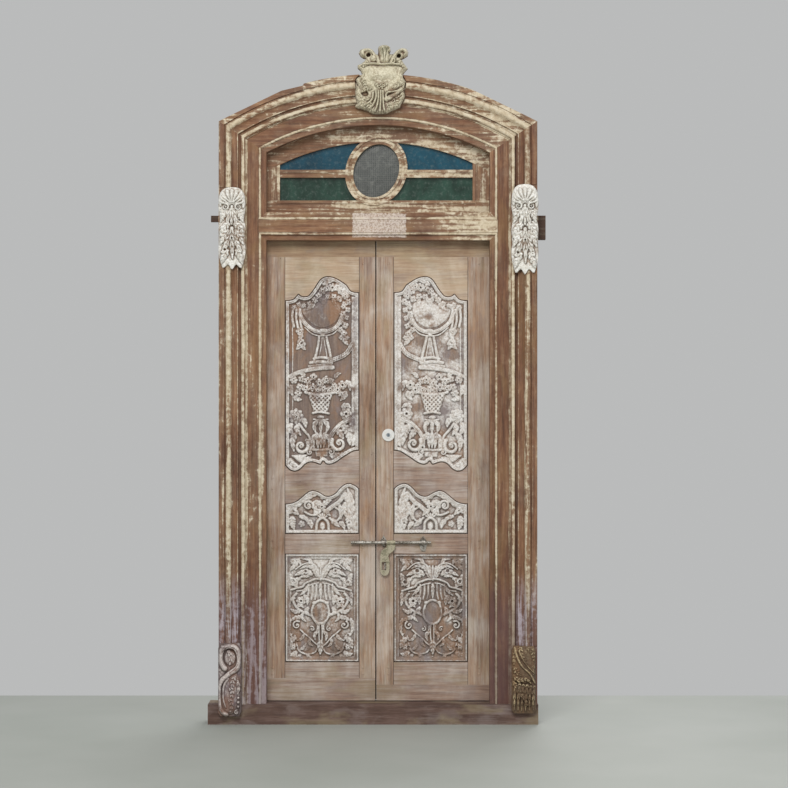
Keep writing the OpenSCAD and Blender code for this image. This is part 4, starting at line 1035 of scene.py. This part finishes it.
def coat(tree, colour, share, code, most=1.0):
    """Lays a hex code or another colour over this one, where share is and at most so much of it."""
    over = linear(code) if isinstance(code, str) else code
    share = add(tree, "ShaderNodeMath", [share, most], operation="MULTIPLY")
    return add(tree, "ShaderNodeMix", [share, colour, over], data_type="RGBA")


EVEN = (1, 1, 1)
ALONG = {"Z": (1.0, 1.0, 0.055), "X": (0.055, 1.0, 1.0)}
SOFT = {"interpolation_type": "SMOOTHSTEP"}


def old_wood(tree, grain, codes, seed, rose, olive, drift_share):
    """Bare weathered hardwood: grain bands 14 mm wide, pores 2.6 mm wide, and slow drifts of colour to a
    greyish rose where it was damp and to a greenish tan where old oil is left."""
    run = ALONG[grain]
    bands = field(tree, run, 14, 5, 0.62, 0.4, seed)
    pores = field(tree, run, 2.6, 3, 0.7, 0.0, seed + 2)
    drift = field(tree, (1, 1, 0.5), 160, 3, 0.5, 0.0, seed + 5)
    tone = weigh(tree, (bands, 0.465), (pores, 0.285), (drift, 0.25))
    colour = add(tree, "ShaderNodeValToRGB", [tone], list(zip((0.36, 0.5, 0.63), codes)))
    for code, size, shift in ((rose, 70, 20.0), (olive, 110, 31.0)):
        where = field(tree, (1, 1, 0.45) if grain == "Z" else (0.45, 1, 1), size, 4, 0.6, 0.5, seed + shift)
        share = add(tree, "ShaderNodeMapRange", [where, 0.48, 0.64, 0, 1], **SOFT)
        colour = coat(tree, colour, share, code, drift_share)
    return colour, tone, pores


def frame_paint(name, grain, distance, amounts, seed, feet=False, side=0.0, worn_patch=None):
    """Teak posts and mouldings that keep worn cream paint, more of it in some bands of the profile.

    distance makes the distance from the opening's edge in metres; amounts gives pairs of that distance in
    millimetres and the share of paint left there. side adds paint towards the right."""
    material, tree = begin(name)
    wood, tone, _ = old_wood(tree, grain, ("#43291b", "#6e4831", "#956f50"), seed, "#5c4238", "#84643f",
                             0.4)
    place = add(tree, "ShaderNodeTexCoord").outputs["Object"]
    x, y, z = add(tree, "ShaderNodeSeparateXYZ", [place]).outputs
    across = distance(tree, x, z)
    share = add(tree, "ShaderNodeMath", [across, PAINT_SPAN * MM], operation="DIVIDE")
    ramp = add(tree, "ShaderNodeValToRGB", [share], [(mm / PAINT_SPAN, left) for mm, left in amounts])
    streak = field(tree, ALONG[grain], 20, 6, 0.66, 0.8, seed + 7)
    flake = field(tree, EVEN, 26, 5, 0.7, 0.5, seed + 9)
    patch = field(tree, (1, 1, 0.4), 260, 2, 0.5, 0.0, seed + 11)
    lean = add(tree, "ShaderNodeMapRange", [x, -0.5, 0.5, -side, side])
    # No share leaves noise above 0.65 painted, a full share all above 0.38
    mix = weigh(tree, (streak, 0.5), (flake, 0.25), (patch, 0.25), (lean, 1.0), (ramp, 0.27))
    paint = add(tree, "ShaderNodeMapRange", [mix, 0.61, 0.68, 0, 1], **SOFT)
    haze = add(tree, "ShaderNodeMapRange", [mix, 0.485, 0.665, 0, 1], **SOFT)
    cream = add(tree, "ShaderNodeValToRGB", [flake], [(0.3, "#a08c70"), (0.5, "#cdbfa3"), (0.7, "#e0d6c0")])
    colour = coat(tree, wood, haze, "#ac9275", 0.34)
    colour = coat(tree, colour, paint, cream, 0.85)
    # Where the tenons stand out past the posts the wood never had paint
    far = add(tree, "ShaderNodeMath", [x], operation="ABSOLUTE")
    tenon = add(tree, "ShaderNodeMath", [far, TENON_X * MM], operation="GREATER_THAN")
    colour = coat(tree, colour, tenon, "#3d2a20", 0.9)
    if worn_patch:
        # A patch on the front where something was once fixed, now a stippled ground with a ragged edge.
        # The stipple is 7 mm wide, as coarse as it needs to be to show
        x0, x1, z0, z1, front = worn_patch
        reach = 1.0
        for run, way, edge in ((x, 1, -x0), (x, -1, x1), (z, 1, -z0), (z, -1, z1), (y, -1, front)):
            gap = add(tree, "ShaderNodeMath", [run, way, edge * MM], operation="MULTIPLY_ADD")
            reach = add(tree, "ShaderNodeMath", [gap, reach], operation="MINIMUM")
        ragged = weigh(tree, (reach, 1.0), (flake, 0.02))
        within = add(tree, "ShaderNodeMapRange", [ragged, 0.008, 0.012, 0, 1], **SOFT)
        dots = add(tree, "ShaderNodeMapRange", [field(tree, EVEN, 7, 2, 0.6, 0.0, 40.0), 0.39, 0.55, 0.3,
                                                0.76], **SOFT)
        share = add(tree, "ShaderNodeMath", [within, dots], operation="MULTIPLY")
        colour = coat(tree, colour, share, "#d3c7bc")
    if feet:
        # The feet have gone dark purple, with lilac-white wash down the outer beads
        # and, on the left, down the inner band as well
        low = add(tree, "ShaderNodeMapRange", [z, 0.64, 0.46, 0, 1])
        outer = add(tree, "ShaderNodeMapRange", [across, 0.106, 0.118, 0, 1], **SOFT)
        inner = add(tree, "ShaderNodeMapRange", [x, 0.01, -0.01, 0, 0.6], **SOFT)
        where = add(tree, "ShaderNodeMath", [outer, inner], operation="MAXIMUM")
        wash = add(tree, "ShaderNodeMapRange", [weigh(tree, (streak, 0.7), (flake, 0.3)), 0.46, 0.56, 0,
                                                0.74], **SOFT)
        share = add(tree, "ShaderNodeMath", [low, where], operation="MULTIPLY")
        share = add(tree, "ShaderNodeMath", [share, wash], operation="MULTIPLY")
        colour = coat(tree, colour, low, "#5d4244", 0.55)
        colour = coat(tree, colour, share, "#b9b0b8")
    return surface(material, colour, 0.78, weigh(tree, (tone, 0.8), (paint, 0.35)), 1.6)


def leaf_wood(name, grain, codes, wash_codes, pale, seed, joints=()):
    """Teak rails and stiles with limewash rubbed into the grain: a soft haze with finer streaks in it.
    joints gives the X places in millimetres of the seams between rails and stiles, which hold dirt."""
    material, tree = begin(name)
    wood, tone, pores = old_wood(tree, grain, codes, seed, "#85756f", "#998a6c", 0.45)
    streak = field(tree, ALONG[grain], 9, 7, 0.72, 0.5, seed + 3)
    cloud = field(tree, (1, 1, 0.6), 150, 4, 0.6, 0.3, seed + 4)
    mix = weigh(tree, (streak, 0.55), (cloud, 0.45), (1.0, 0.3 * pale))
    share = add(tree, "ShaderNodeMapRange", [mix, 0.56, 0.86, 0, 0.72], **SOFT)
    wash = add(tree, "ShaderNodeValToRGB", [cloud], list(zip((0.36, 0.6), wash_codes)))
    colour = coat(tree, wood, share, wash)
    dust = add(tree, "ShaderNodeMapRange", [pores, 0.54, 0.66, 0, 0.22], **SOFT)
    colour = coat(tree, colour, dust, "#5b4536")
    nick = add(tree, "ShaderNodeMapRange", [field(tree, EVEN, 22, 5, 0.8, 0.3, seed + 14), 0.675, 0.705, 0,
                                            1], **SOFT)
    colour = coat(tree, colour, nick, "#4f3b2e", 0.5)
    height = weigh(tree, (tone, 0.9), (share, 0.1), (nick, -0.6))
    if joints:
        x = add(tree, "ShaderNodeSeparateXYZ",
                [add(tree, "ShaderNodeTexCoord").outputs["Object"]]).outputs["X"]
        gap = 1.0
        for seam in joints:
            away = add(tree, "ShaderNodeMath", [x, seam * MM], operation="SUBTRACT")
            away = add(tree, "ShaderNodeMath", [away], operation="ABSOLUTE")
            gap = add(tree, "ShaderNodeMath", [gap, away], operation="MINIMUM")
        line = add(tree, "ShaderNodeMapRange", [gap, 0.0005, 0.0017, 1, 0], **SOFT)
        colour = coat(tree, colour, line, "#3c2c23", 0.75)
        height = weigh(tree, (height, 1.0), (line, -1.0))
    return surface(material, colour, 0.8, height, 1.2)


def carved_lime(name, wood_codes, wash_codes, seed, cover=0.86, hues=("#776c6e", "#8d6442"), haze=0.12,
                cut_shade=0.6):
    """Carved teak under limewash that has gone from the high and open parts; painted shade darkens the
    cuts.
    """
    material, tree = begin(name)
    wood, tone, _ = old_wood(tree, "Z", wood_codes, seed, *hues, 0.75)
    lime = add(tree, "ShaderNodeAttribute", attribute_name="lime").outputs["Fac"]
    hollow = add(tree, "ShaderNodeAttribute", attribute_name="hollow").outputs["Fac"]
    fine = field(tree, EVEN, 9, 5, 0.7, 0.6, seed + 3)
    broad = field(tree, EVEN, 45, 3, 0.6, 0.4, seed + 6)
    # The noise is taken about its middle, 0.5, so that it adds nothing on the whole
    mix = weigh(tree, (lime, 1.0), (fine, 0.65), (broad, 0.65), (1.0, -0.65))
    share = add(tree, "ShaderNodeMapRange", [mix, 0.18, 0.86, haze, cover], **SOFT)
    wash = add(tree, "ShaderNodeValToRGB", [fine], list(zip((0.34, 0.6), wash_codes)))
    colour = coat(tree, wood, share, wash)
    # Painted shade in the cuts, as strong as the hollow attribute and its weight give
    colour = coat(tree, colour, hollow, "#4b3a2e", cut_shade)
    return surface(material, colour, 0.85, weigh(tree, (tone, 0.5), (fine, 0.5)), 0.8)


def tinted_glass_with_painted_shade(name, deep, clear, rough, ripple):
    """Rolled glass, coloured through, opaque and dark: its tint plus painted shade for the dark room behind
    it; glossy, a little wavy and dusty.
    """
    material, tree = begin(name)
    wave = field(tree, EVEN, ripple, 3, 0.5, 0.4)
    cloud = field(tree, (1, 1, 0.6), 70, 4, 0.6, 0.5, 3.0)
    colour = add(tree, "ShaderNodeValToRGB", [cloud], [(0.3, deep), (0.7, clear)])
    dust = add(tree, "ShaderNodeMapRange", [field(tree, EVEN, 14, 6, 0.75, 0.0, 8.0), 0.48, 0.72, 0, 0.2],
               **SOFT)
    colour = coat(tree, colour, dust, "#8d9690")
    return surface(material, colour, rough, wave, 0.4, IOR=1.52)


def wired_glass_with_painted_shade(name):
    """Wired cast glass in the oval: an 8 mm square mesh shows through grey glass, opaque, its dark ground
    painted shade for the dark behind it.
    """
    material, tree = begin(name)
    place = add(tree, "ShaderNodeTexCoord").outputs["Object"]
    x, _, z = add(tree, "ShaderNodeSeparateXYZ", [place]).outputs
    mesh = 0.0
    for run in (x, z):
        swing = add(tree, "ShaderNodeMath", [run, 4 * MM], operation="PINGPONG")
        wire = add(tree, "ShaderNodeMath", [swing, 1.1 * MM], operation="LESS_THAN")
        mesh = add(tree, "ShaderNodeMath", [wire, mesh], operation="MAXIMUM")
    cloud = field(tree, EVEN, 30, 5, 0.7, 0.8, 4.0)
    ground = add(tree, "ShaderNodeValToRGB", [cloud], [(0.36, "#1d211f"), (0.5, "#303431"),
                                                       (0.66, "#5c5d58")])
    colour = coat(tree, ground, mesh, "#6a6b63", 0.5)
    return surface(material, colour, 0.3, weigh(tree, (mesh, 1.0), (cloud, 0.5)), 0.7, IOR=1.52)


def worn_metal(name, codes, size, rough, metallic, amount, seed):
    """Metal that has dulled and stained with handling and damp. codes are its clean, dull and stained
    colours, and amount is how much of it is stained."""
    material, tree = begin(name)
    spots = field(tree, EVEN, size, 6, 0.7, 0.4, seed)
    broad = field(tree, EVEN, size * 5, 3, 0.6, 0.0, seed + 3)
    lines = field(tree, (0.08, 1, 1), 1.2, 2, 0.5, 0.0, seed + 5)
    clean, dull, stain = codes
    body = add(tree, "ShaderNodeMix", [broad, linear(clean), linear(dull)], data_type="RGBA")
    mix = weigh(tree, (spots, 0.6), (broad, 0.4), (1.0, 0.3 * amount))
    share = add(tree, "ShaderNodeMapRange", [mix, 0.59, 0.73, 0, 1], **SOFT)
    colour = coat(tree, body, share, stain)
    gloss = add(tree, "ShaderNodeMapRange", [share, 0, 1, rough, min(0.95, rough + 0.35)])
    return surface(material, colour, gloss, weigh(tree, (spots, 0.7), (lines, 0.2)), 0.35,
                   Metallic=metallic)


def gap_shade_material(name):
    """Dark soft strip material with a 0.5 mm fibre bump: painted shade for the gap between the leaves."""
    material, tree = begin(name)
    fibre = field(tree, (1, 1, 0.3), 0.8, 3, 0.7, 0.6, 2.0)
    tone = add(tree, "ShaderNodeValToRGB", [fibre], [(0.35, "#14110f"), (0.7, "#2d2723")])
    return surface(material, tone, 0.95, fibre, 0.4, **{"Sheen Weight": 0.2})


def post_distance(tree, x, z):
    """Distance out from the opening's side."""
    far = add(tree, "ShaderNodeMath", [x], operation="ABSOLUTE")
    return add(tree, "ShaderNodeMath", [far, POST_EDGE * MM], operation="SUBTRACT")


def arch_distance(tree, x, z):
    """Distance out from the arch, in the posts' measure: the arch's mouldings are a little wider."""
    flat = add(tree, "ShaderNodeCombineXYZ", {"X": x, "Z": z})
    far = add(tree, "ShaderNodeVectorMath", [flat, (0, 0, ARCH_CENTRE * MM)], operation="DISTANCE")
    return weigh(tree, (far, 1 / ARCH_STRETCH), (1.0, -ARCH_RADIUS * MM / ARCH_STRETCH))


def transom_distance(tree, x, z):
    """Height over the transom's lower edge."""
    return add(tree, "ShaderNodeMath", [z, TRANSOM_Z * MM], operation="SUBTRACT")


# Share of paint left across the profile, from the opening outwards, in millimetres
PAINT_SPAN = 200
POST_PAINT = [(0, 0.15), (19, 0.2), (23, 0.75), (29, 0.75), (33, 0.1), (76, 0.1), (80, 0.55), (86, 0.6),
              (89, 0.25), (92, 0.75), (102, 0.75), (105, 0.05), (116, 0.05), (118, 0.6), (121, 0.1),
              (142, 0.05), (146, 0.6), (164, 0.6), (168, 0.2), (192, 0.25), (197, 0.35)]
ARCH_PAINT = [(0, 0.3), (19, 0.35), (23, 0.8), (29, 0.8), (33, 0.25), (76, 0.25), (80, 0.6), (86, 0.7),
              (89, 0.4), (92, 0.85), (102, 0.85), (105, 0.45), (116, 0.4), (118, 0.75), (121, 0.4),
              (142, 0.4), (146, 0.8), (164, 0.8), (168, 0.4), (192, 0.4), (197, 0.5)]
TRANSOM_PAINT = [(0, 0.2), (20, 0.25), (23, 0.7), (31, 0.7), (34, 0.3), (84, 0.35), (88, 0.75), (96, 0.7),
                 (100, 0.3), (117, 0.4)]

# X of the seams between the stiles and the rails
SEAMS = (-395, -80, 65, 380)
# A patch on the transom: its ends in X, its ends in Z, and the Y of the front it lies on
WORN_PATCH = (-108, 118, 2046, 2146, -30)


def make_materials():
    """All finishes, by the name used further down."""
    warm = ("#634836", "#947258", "#ba9a7e")
    grey = ("#6b5548", "#967b6a", "#b9a18f")
    even_sash = lambda tree, x, z: 0.0
    return {
        # Teak planed and moulded by hand, its cream oil paint worn into streaks along the grain
        "post": frame_paint("teak_post_worn_cream_paint", "Z", post_distance, POST_PAINT, 0.0, feet=True),
        "arch": frame_paint("teak_arch_worn_cream_paint", "X", arch_distance, ARCH_PAINT, 3.0, side=0.035),
        "transom": frame_paint("teak_transom_worn_cream_paint", "X", transom_distance, TRANSOM_PAINT, 6.0,
                               side=0.03, worn_patch=WORN_PATCH),
        "sash_x": frame_paint("sash_rail_worn_cream_paint", "X", even_sash, [(0, 0.44)], 9.0, side=0.05),
        "sash_z": frame_paint("sash_stile_worn_cream_paint", "Z", even_sash, [(0, 0.42)], 12.0),
        # Planed teak, greyed and rubbed with lime: matt, with the pale wash in its open grain
        "sill": leaf_wood("sill_hardwood_dusty", "X", ("#46322b", "#5d463c", "#79625a"),
                          ("#857876", "#a39692"), 0.22, 15.0),
        "stile": leaf_wood("leaf_stile_limewashed_teak", "Z", warm,
                           ("#b6a695", "#cdc2b6"), 0.66, 1.0, SEAMS),
        "rail": leaf_wood("leaf_rail_limewashed_teak", "X", grey, ("#b3a79d", "#cbc1b8"), 0.6, 2.0, SEAMS),
        "kick": leaf_wood("kick_board_limewashed_teak", "X", grey, ("#aea298", "#c4b9af"), 0.52, 5.5),
        "top_rail": leaf_wood("leaf_top_rail_limewashed_teak", "X", ("#8a6f57", "#a5896e", "#b89f84"),
                              ("#bfae98", "#cfc1ad"), 0.66, 7.0, SEAMS),
        "head": leaf_wood("head_board_oiled_teak", "X", ("#735a46", "#8f745b", "#a68c6f"),
                          ("#b39d7e", "#bfab8d"), 0.5, 4.0),
        # Carved wood under lime or cracked paint: chalky, with painted shade in the cuts
        "panel": carved_lime("panel_carved_teak_limewash", ("#4c392f", "#705747", "#937862"),
                             ("#c0b5a8", "#eeece8"), 1.0),
        "dark_panel": carved_lime("panel_carved_teak_dark_ground", ("#4a3930", "#6b564b", "#8a7565"),
                                  ("#c0b5a8", "#f0eeea"), 1.0, 0.92, haze=0.07),
        "block": carved_lime("frame_carving_chalky_limewash", ("#5f4533", "#876a50", "#a58a6c"),
                             ("#c3bdae", "#f2f1ec"), 5.0, 0.95, ("#8f8477", "#8a6237"), cut_shade=0.42),
        "crest": carved_lime("crest_carving_crazed_cream_paint", ("#4f3b2b", "#70553d", "#8d7154"),
                             ("#aaa084", "#d9d2ba"), 8.0, 0.95, ("#7a5a52", "#6d7158"), cut_shade=0.5),
        "left_console": carved_lime("foot_carving_purple_brown", ("#37272a", "#523f3e", "#6f5a56"),
                                    ("#a3908a", "#e2dad4"), 11.0, 0.9, ("#6a5c64", "#7a4f33")),
        "right_console": carved_lime("foot_carving_dark_gilt_brown", ("#33231b", "#523828", "#6f4f38"),
                                     ("#a3865e", "#dccba4"), 14.0, 0.9, ("#432f2c", "#6f4a2c")),
        # Cast and rolled glass, hard and glossy over its ripple, opaque: tint with painted shade for the
        # dark behind
        "blue": tinted_glass_with_painted_shade("blue_glass_painted_shade", "#09303f", "#164c5e", 0.09, 16),
        "green": tinted_glass_with_painted_shade("green_glass_painted_shade", "#162b21", "#2c4b3e", 0.1, 12),
        "grey": wired_glass_with_painted_shade("grey_wired_glass_painted_shade"),
        # Metals: dull where plating or paint has gone, with stains as wide as the size given in millimetres
        "iron": worn_metal("wrought_iron_brown_rust", ("#4a4541", "#352f2c", "#5a3a29"),
                           7, 0.55, 0.75, 0.55, 1.0),
        "zinc": worn_metal("zinc_plated_steel_dull", ("#bdb9b1", "#99948a", "#6a5f53"),
                           4, 0.42, 0.75, 0.42, 4.0),
        "hasp": worn_metal("hasp_painted_steel_flaking", ("#b9b19c", "#a39a80", "#7d7a63"),
                           6, 0.5, 0.4, 0.4, 9.0),
        "nickel": worn_metal("nickel_plated_brass_lock", ("#f1f0ec", "#e2e0da", "#a29d93"),
                             3, 0.3, 0.45, 0.12, 7.0),
        "plug": worn_metal("steel_plug_grey", ("#9aa3a8", "#858d92", "#6d6a64"),
                           3, 0.35, 0.6, 0.2, 10.0),
        # Painted shade: the dark strip in the meeting gap
        "gap_shade": gap_shade_material("meeting_gap_painted_shade"),
    }


# ---------------------------------------------------------------- small hardware, set out by node trees


def head_tree():
    """Sets a head on every point of a cloud, each turned a little differently."""
    tree = bpy.data.node_groups.new("set_heads", "GeometryNodeTree")
    face = tree.interface
    for label, kind in (("Points", "Geometry"), ("Head", "Object"), ("Least size", "Float"),
                        ("Most size", "Float"), ("Seed", "Int"), ("Finish", "Material")):
        face.new_socket(label, in_out="INPUT", socket_type="NodeSocket" + kind)
    face.new_socket("Heads", in_out="OUTPUT", socket_type="NodeSocketGeometry")
    source = add(tree, "NodeGroupInput").outputs
    head = add(tree, "GeometryNodeObjectInfo", {"Object": source["Head"]}).outputs["Geometry"]
    turn = add(tree, "FunctionNodeRandomValue", {"Max": (0.0, 6.2832, 0.0), "Seed": source["Seed"]},
               data_type="FLOAT_VECTOR")
    size = add(tree, "FunctionNodeRandomValue", {2: source["Least size"], 3: source["Most size"],
                                                 "Seed": source["Seed"]}, data_type="FLOAT")
    laid = add(tree, "GeometryNodeInstanceOnPoints", {"Points": source["Points"], "Instance": head,
                                                      "Rotation": turn.outputs[0],
                                                      "Scale": size.outputs[1]})
    real = add(tree, "GeometryNodeRealizeInstances", {0: laid.outputs[0]})
    done = add(tree, "GeometryNodeSetMaterial", {"Geometry": real.outputs[0], "Material": source["Finish"]})
    add(tree, "NodeGroupOutput", {0: done.outputs[0]})
    return tree


def skin(bm, loops):
    """Closed solid over loops of points in millimetres, from the first to the last."""
    loops = [[bm.verts.new((x * MM, y * MM, z * MM)) for x, y, z in loop] for loop in loops]
    for low, top in zip(loops, loops[1:]):
        for k in range(len(low)):
            j = (k + 1) % len(low)
            bm.faces.new([low[k], low[j], top[j], top[k]])
    bm.faces.new(loops[0][::-1])
    bm.faces.new(loops[-1])


def finished(bm, name):
    """The object of a mesh that is done."""
    mesh = bpy.data.meshes.new(name)
    bm.to_mesh(mesh)
    bm.free()
    return put(name, mesh)


def shaped_head(name, rings, sides, slot=0.0):
    """Round head about Y from (radius, height) rings, its top towards -Y. slot is a screw slot's width."""
    bm = bmesh.new()
    turns = [2 * math.pi * k / sides for k in range(sides)]
    skin(bm, [[(radius * math.cos(a), -high, radius * math.sin(a)) for a in turns]
              for radius, high in rings])
    if slot:
        # The slot is a sunken strip across the top ring
        for sign in (-1, 1):
            geom = top_faces(bm, rings[-1][1])
            bmesh.ops.bisect_plane(bm, geom=geom, plane_co=(0, 0, sign * slot * 0.5 * MM),
                                   plane_no=(0, 0, 1))
        top = -rings[-1][1] * MM
        middles = [(f, f.calc_center_median()) for f in bm.faces]
        strip = [f for f, at in middles if abs(at.y - top) < 1e-7 and abs(at.z) < slot * 0.45 * MM]
        out = bmesh.ops.extrude_face_region(bm, geom=strip)
        for v in out["geom"]:
            if isinstance(v, bmesh.types.BMVert):
                v.co.y += rings[-1][1] * 0.45 * MM
        bmesh.ops.delete(bm, geom=strip, context="FACES_ONLY")
    bmesh.ops.recalc_face_normals(bm, faces=bm.faces)
    thing = finished(bm, name)
    thing.data.shade_smooth()
    return thing


def top_faces(bm, high):
    """Faces, edges and points that lie in the top of a head."""
    faces = [f for f in bm.faces if all(abs(v.co.y + high * MM) < 1e-7 for v in f.verts)]
    # A dict, unlike a set, keeps its order from run to run
    edges = dict.fromkeys(e for f in faces for e in f.edges)
    verts = dict.fromkeys(v for f in faces for v in f.verts)
    return [*faces, *edges, *verts]


def set_heads(tree, name, body, head, places, finish, sizes, seed, behind=False):
    """One mesh of heads at places in millimetres. behind turns them to face the back."""
    mesh = bpy.data.meshes.new(name + "_points")
    sign = -1 if behind else 1
    mesh.from_pydata([(x * MM * sign, y * MM * sign, z * MM) for x, y, z in places], [], [])
    cloud = put(name + "_points", mesh)
    modifier = cloud.modifiers.new("heads", "NODES")
    modifier.node_group = tree
    values = {"Head": head, "Least size": sizes[0], "Most size": sizes[1], "Seed": seed, "Finish": finish}
    for socket in tree.interface.items_tree:
        if socket.name in values:
            modifier[socket.identifier] = values[socket.name]
    bpy.context.view_layer.update()
    solid = bpy.data.meshes.new_from_object(cloud.evaluated_get(bpy.context.evaluated_depsgraph_get()))
    if behind:
        # Half a turn about Z brings the heads to the back
        for v in solid.vertices:
            v.co.x, v.co.y = -v.co.x, -v.co.y
    solid.name = name
    thing = put(name, solid)
    bpy.data.objects.remove(cloud)
    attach(thing, body)


def corners(node, inset_x, inset_z):
    """Places near the corners of a plate's back."""
    (x0, _, z0), (x1, y1, z1) = [[c / MM for c in p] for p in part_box(node)]
    return [(x, y1, z) for x in (x0 + inset_x, x1 - inset_x) for z in (z0 + inset_z, z1 - inset_z)]


def shade_meeting_gap(finish):
    """Dark strip down the left leaf's meeting edge, with a rounded lip that nearly meets the right leaf: a
    dark piece set in the gap as painted shade.
    """
    profile = [(-12.4, 52), (-10.0, 52), (-8.7, 54), (-8.0, 57), (-8.0, 60), (-8.7, 63), (-10.0, 65),
               (-12.4, 65)]
    bm = bmesh.new()
    levels = np.linspace(LEAF_FOOT + 1, LEAF_TOP - 1, 61)
    skin(bm, [[(x, y, z) for x, y in profile] for z in levels])
    bmesh.ops.recalc_face_normals(bm, faces=bm.faces)
    thing = finished(bm, "meeting_edge_felt")
    thing.data.materials.append(finish)
    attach(thing, "left_leaf")


def set_hardware(finishes):
    """Pegs, rivets and screws."""
    tree = head_tree()
    peg = shaped_head("peg_head", [(5.6, -1.5), (5.6, 0.25), (4.6, 0.8), (2.4, 1.1)], 14)
    nail = shaped_head("nail_head", [(3.4, -1.0), (3.4, 0.4), (2.4, 1.2), (0.9, 1.5)], 10)
    screw = shaped_head("screw_head", [(3.2, -0.6), (3.2, 0.35), (2.6, 0.9)], 16, slot=0.9)
    # Pegs through the leaves' joints, as a joiner sets them
    for side in ("left", "right"):
        joints = [(x, LEAF_FRONT, z) for z in JOINT_Z for x in JOINT_X[side]]
        set_heads(tree, f"{side}_leaf_pegs", f"{side}_leaf", peg, joints, finishes["stile"],
                  (0.92, 1.08), 3)
    guides = [(x, BOLT_PLATE, BOLT_Z + rise) for x in GUIDE_X for rise in (17, -17)]
    set_heads(tree, "bolt_guide_rivets", "right_leaf", nail, guides, finishes["iron"],
              (0.6, 0.7), 5)
    # Screws on the backs of the lock's case and strike
    for name, body, node, seed in (("latch_case_screws", "right_leaf", "latch_case", 7),
                                   ("latch_strike_screws", "left_leaf", "latch_strike", 8)):
        places = corners(node, 5, 6)
        set_heads(tree, name, body, screw, places, finishes["iron"], (0.95, 1.05), seed,
                  behind=True)
    for thing in (peg, nail, screw):
        bpy.data.objects.remove(thing)


# ---------------------------------------------------------------- finishes on the construction's own pieces

LOOKS = {
    "post": ["left_post", "right_post"],
    "arch": ["left_arch", "right_arch"],
    "transom": ["transom_rail"],
    "sash_x": ["fan_arched_rail", "fan_bottom_rail", "fan_oval_ring", "fan_bars"],
    "sash_z": ["fan_left_stile", "fan_right_stile"],
    "sill": ["sill"],
    "stile": [f"{s}_{n}" for s in ("left", "right") for n in ("hinge_stile", "meeting_stile")],
    "rail": [f"{s}_{n}" for s in ("left", "right") for n in ("lock_rail", "middle_rail", "bottom_rail")],
    "kick": ["left_kick_board", "right_kick_board"],
    "top_rail": ["left_top_rail", "right_top_rail"],
    "head": ["left_head_board", "right_head_board"],
    "panel": ["left_panel_mouldings", "right_panel_mouldings"],
    "blue": ["blue_panes"],
    "green": ["green_panes"],
    "grey": ["oval_pane"],
    "iron": ["hinge_frame_flaps", "hinge_pins", "left_hinge_flaps", "right_hinge_flaps", "latch_case",
             "latch_strike", "latch_bolt"],
    "zinc": ["bolt_rod", "bolt_guides", "bolt_keeper", "padlock_staple"],
    "hasp": ["hasp"],
    "nickel": ["lock_cylinder"],
    "plug": ["lock_plug"],
}
CARVING_LOOKS = {"left_upper_carving": "dark_panel", "left_capital_carving": "block",
                 "right_capital_carving": "block", "crest_carving": "crest",
                 "left_base_console_carving": "left_console",
                 "right_base_console_carving": "right_console"}


def dress(thing, material):
    """Gives a piece one material in every slot."""
    if not thing.material_slots:
        thing.data.materials.append(material)
    for slot in thing.material_slots:
        slot.material = material


def set_stage():
    """Floor, light and camera."""
    scene = bpy.context.scene
    bm = bmesh.new()
    bmesh.ops.create_grid(bm, x_segments=8, y_segments=8, size=1)
    # 8 m wide, from 4.6 m before the door to 0.8 m behind it
    for vert in bm.verts:
        vert.co = (4.0 * vert.co.x, 0.8 + 2.7 * (vert.co.y - 1), 0)
    floor = finished(bm, "floor")
    material, tree = begin("floor_pale_matt")
    cloud = field(tree, EVEN, 900, 3)
    tone = add(tree, "ShaderNodeValToRGB", [cloud], [(0.3, "#9fa39c"), (0.7, "#a9aca6")])
    floor.data.materials.append(surface(material, tone, 0.7))

    world = bpy.data.worlds.new("soft_room")
    world.use_nodes = True
    world.node_tree.nodes.clear()
    glow = add(world.node_tree, "ShaderNodeBackground", {"Color": linear("#d5d6d6"), "Strength": 0.74})
    add(world.node_tree, "ShaderNodeOutputWorld", {"Surface": glow})
    scene.world = world
    scene.view_settings.view_transform = "Standard"

    for name, place, aim, size, power in (("key_light", (-1.0, -5.4, 4.6), (0, 0, 1.3), 2.2, 230),
                                          ("fill_light", (3.4, -3.6, 2.0), (0, 0, 1.2), 3.0, 45),
                                          ("back_light", (1.5, 4.5, 3.6), (0, 0, 1.3), 3.0, 120)):
        lamp = bpy.data.lights.new(name, "AREA")
        lamp.size, lamp.energy = size, power
        thing = put(name, lamp)
        thing.location = place
        away = [p - a for p, a in zip(place, aim)]
        flat = math.hypot(away[0], away[1])
        thing.rotation_euler = (math.atan2(flat, away[2]), 0, math.atan2(away[0], -away[1]))

    camera = bpy.data.cameras.new("camera")
    camera.sensor_width, camera.lens = 36, 97.4
    view = put("camera", camera)
    view.location = (0.067, -9, 1.386)
    view.rotation_euler = (math.pi / 2, 0, 0)
    scene.camera = view


set_stage()
finishes = make_materials()
carvings = build_carvings()
for look, names in LOOKS.items():
    for name in names:
        dress(nodes[name], finishes[look])
for thing in carvings:
    dress(thing, finishes[CARVING_LOOKS.get(thing.name, "panel")])
# A dark strip in the meeting gap, painted shade where the gap would show the bright room
shade_meeting_gap(finishes["gap_shade"])
set_hardware(finishes)
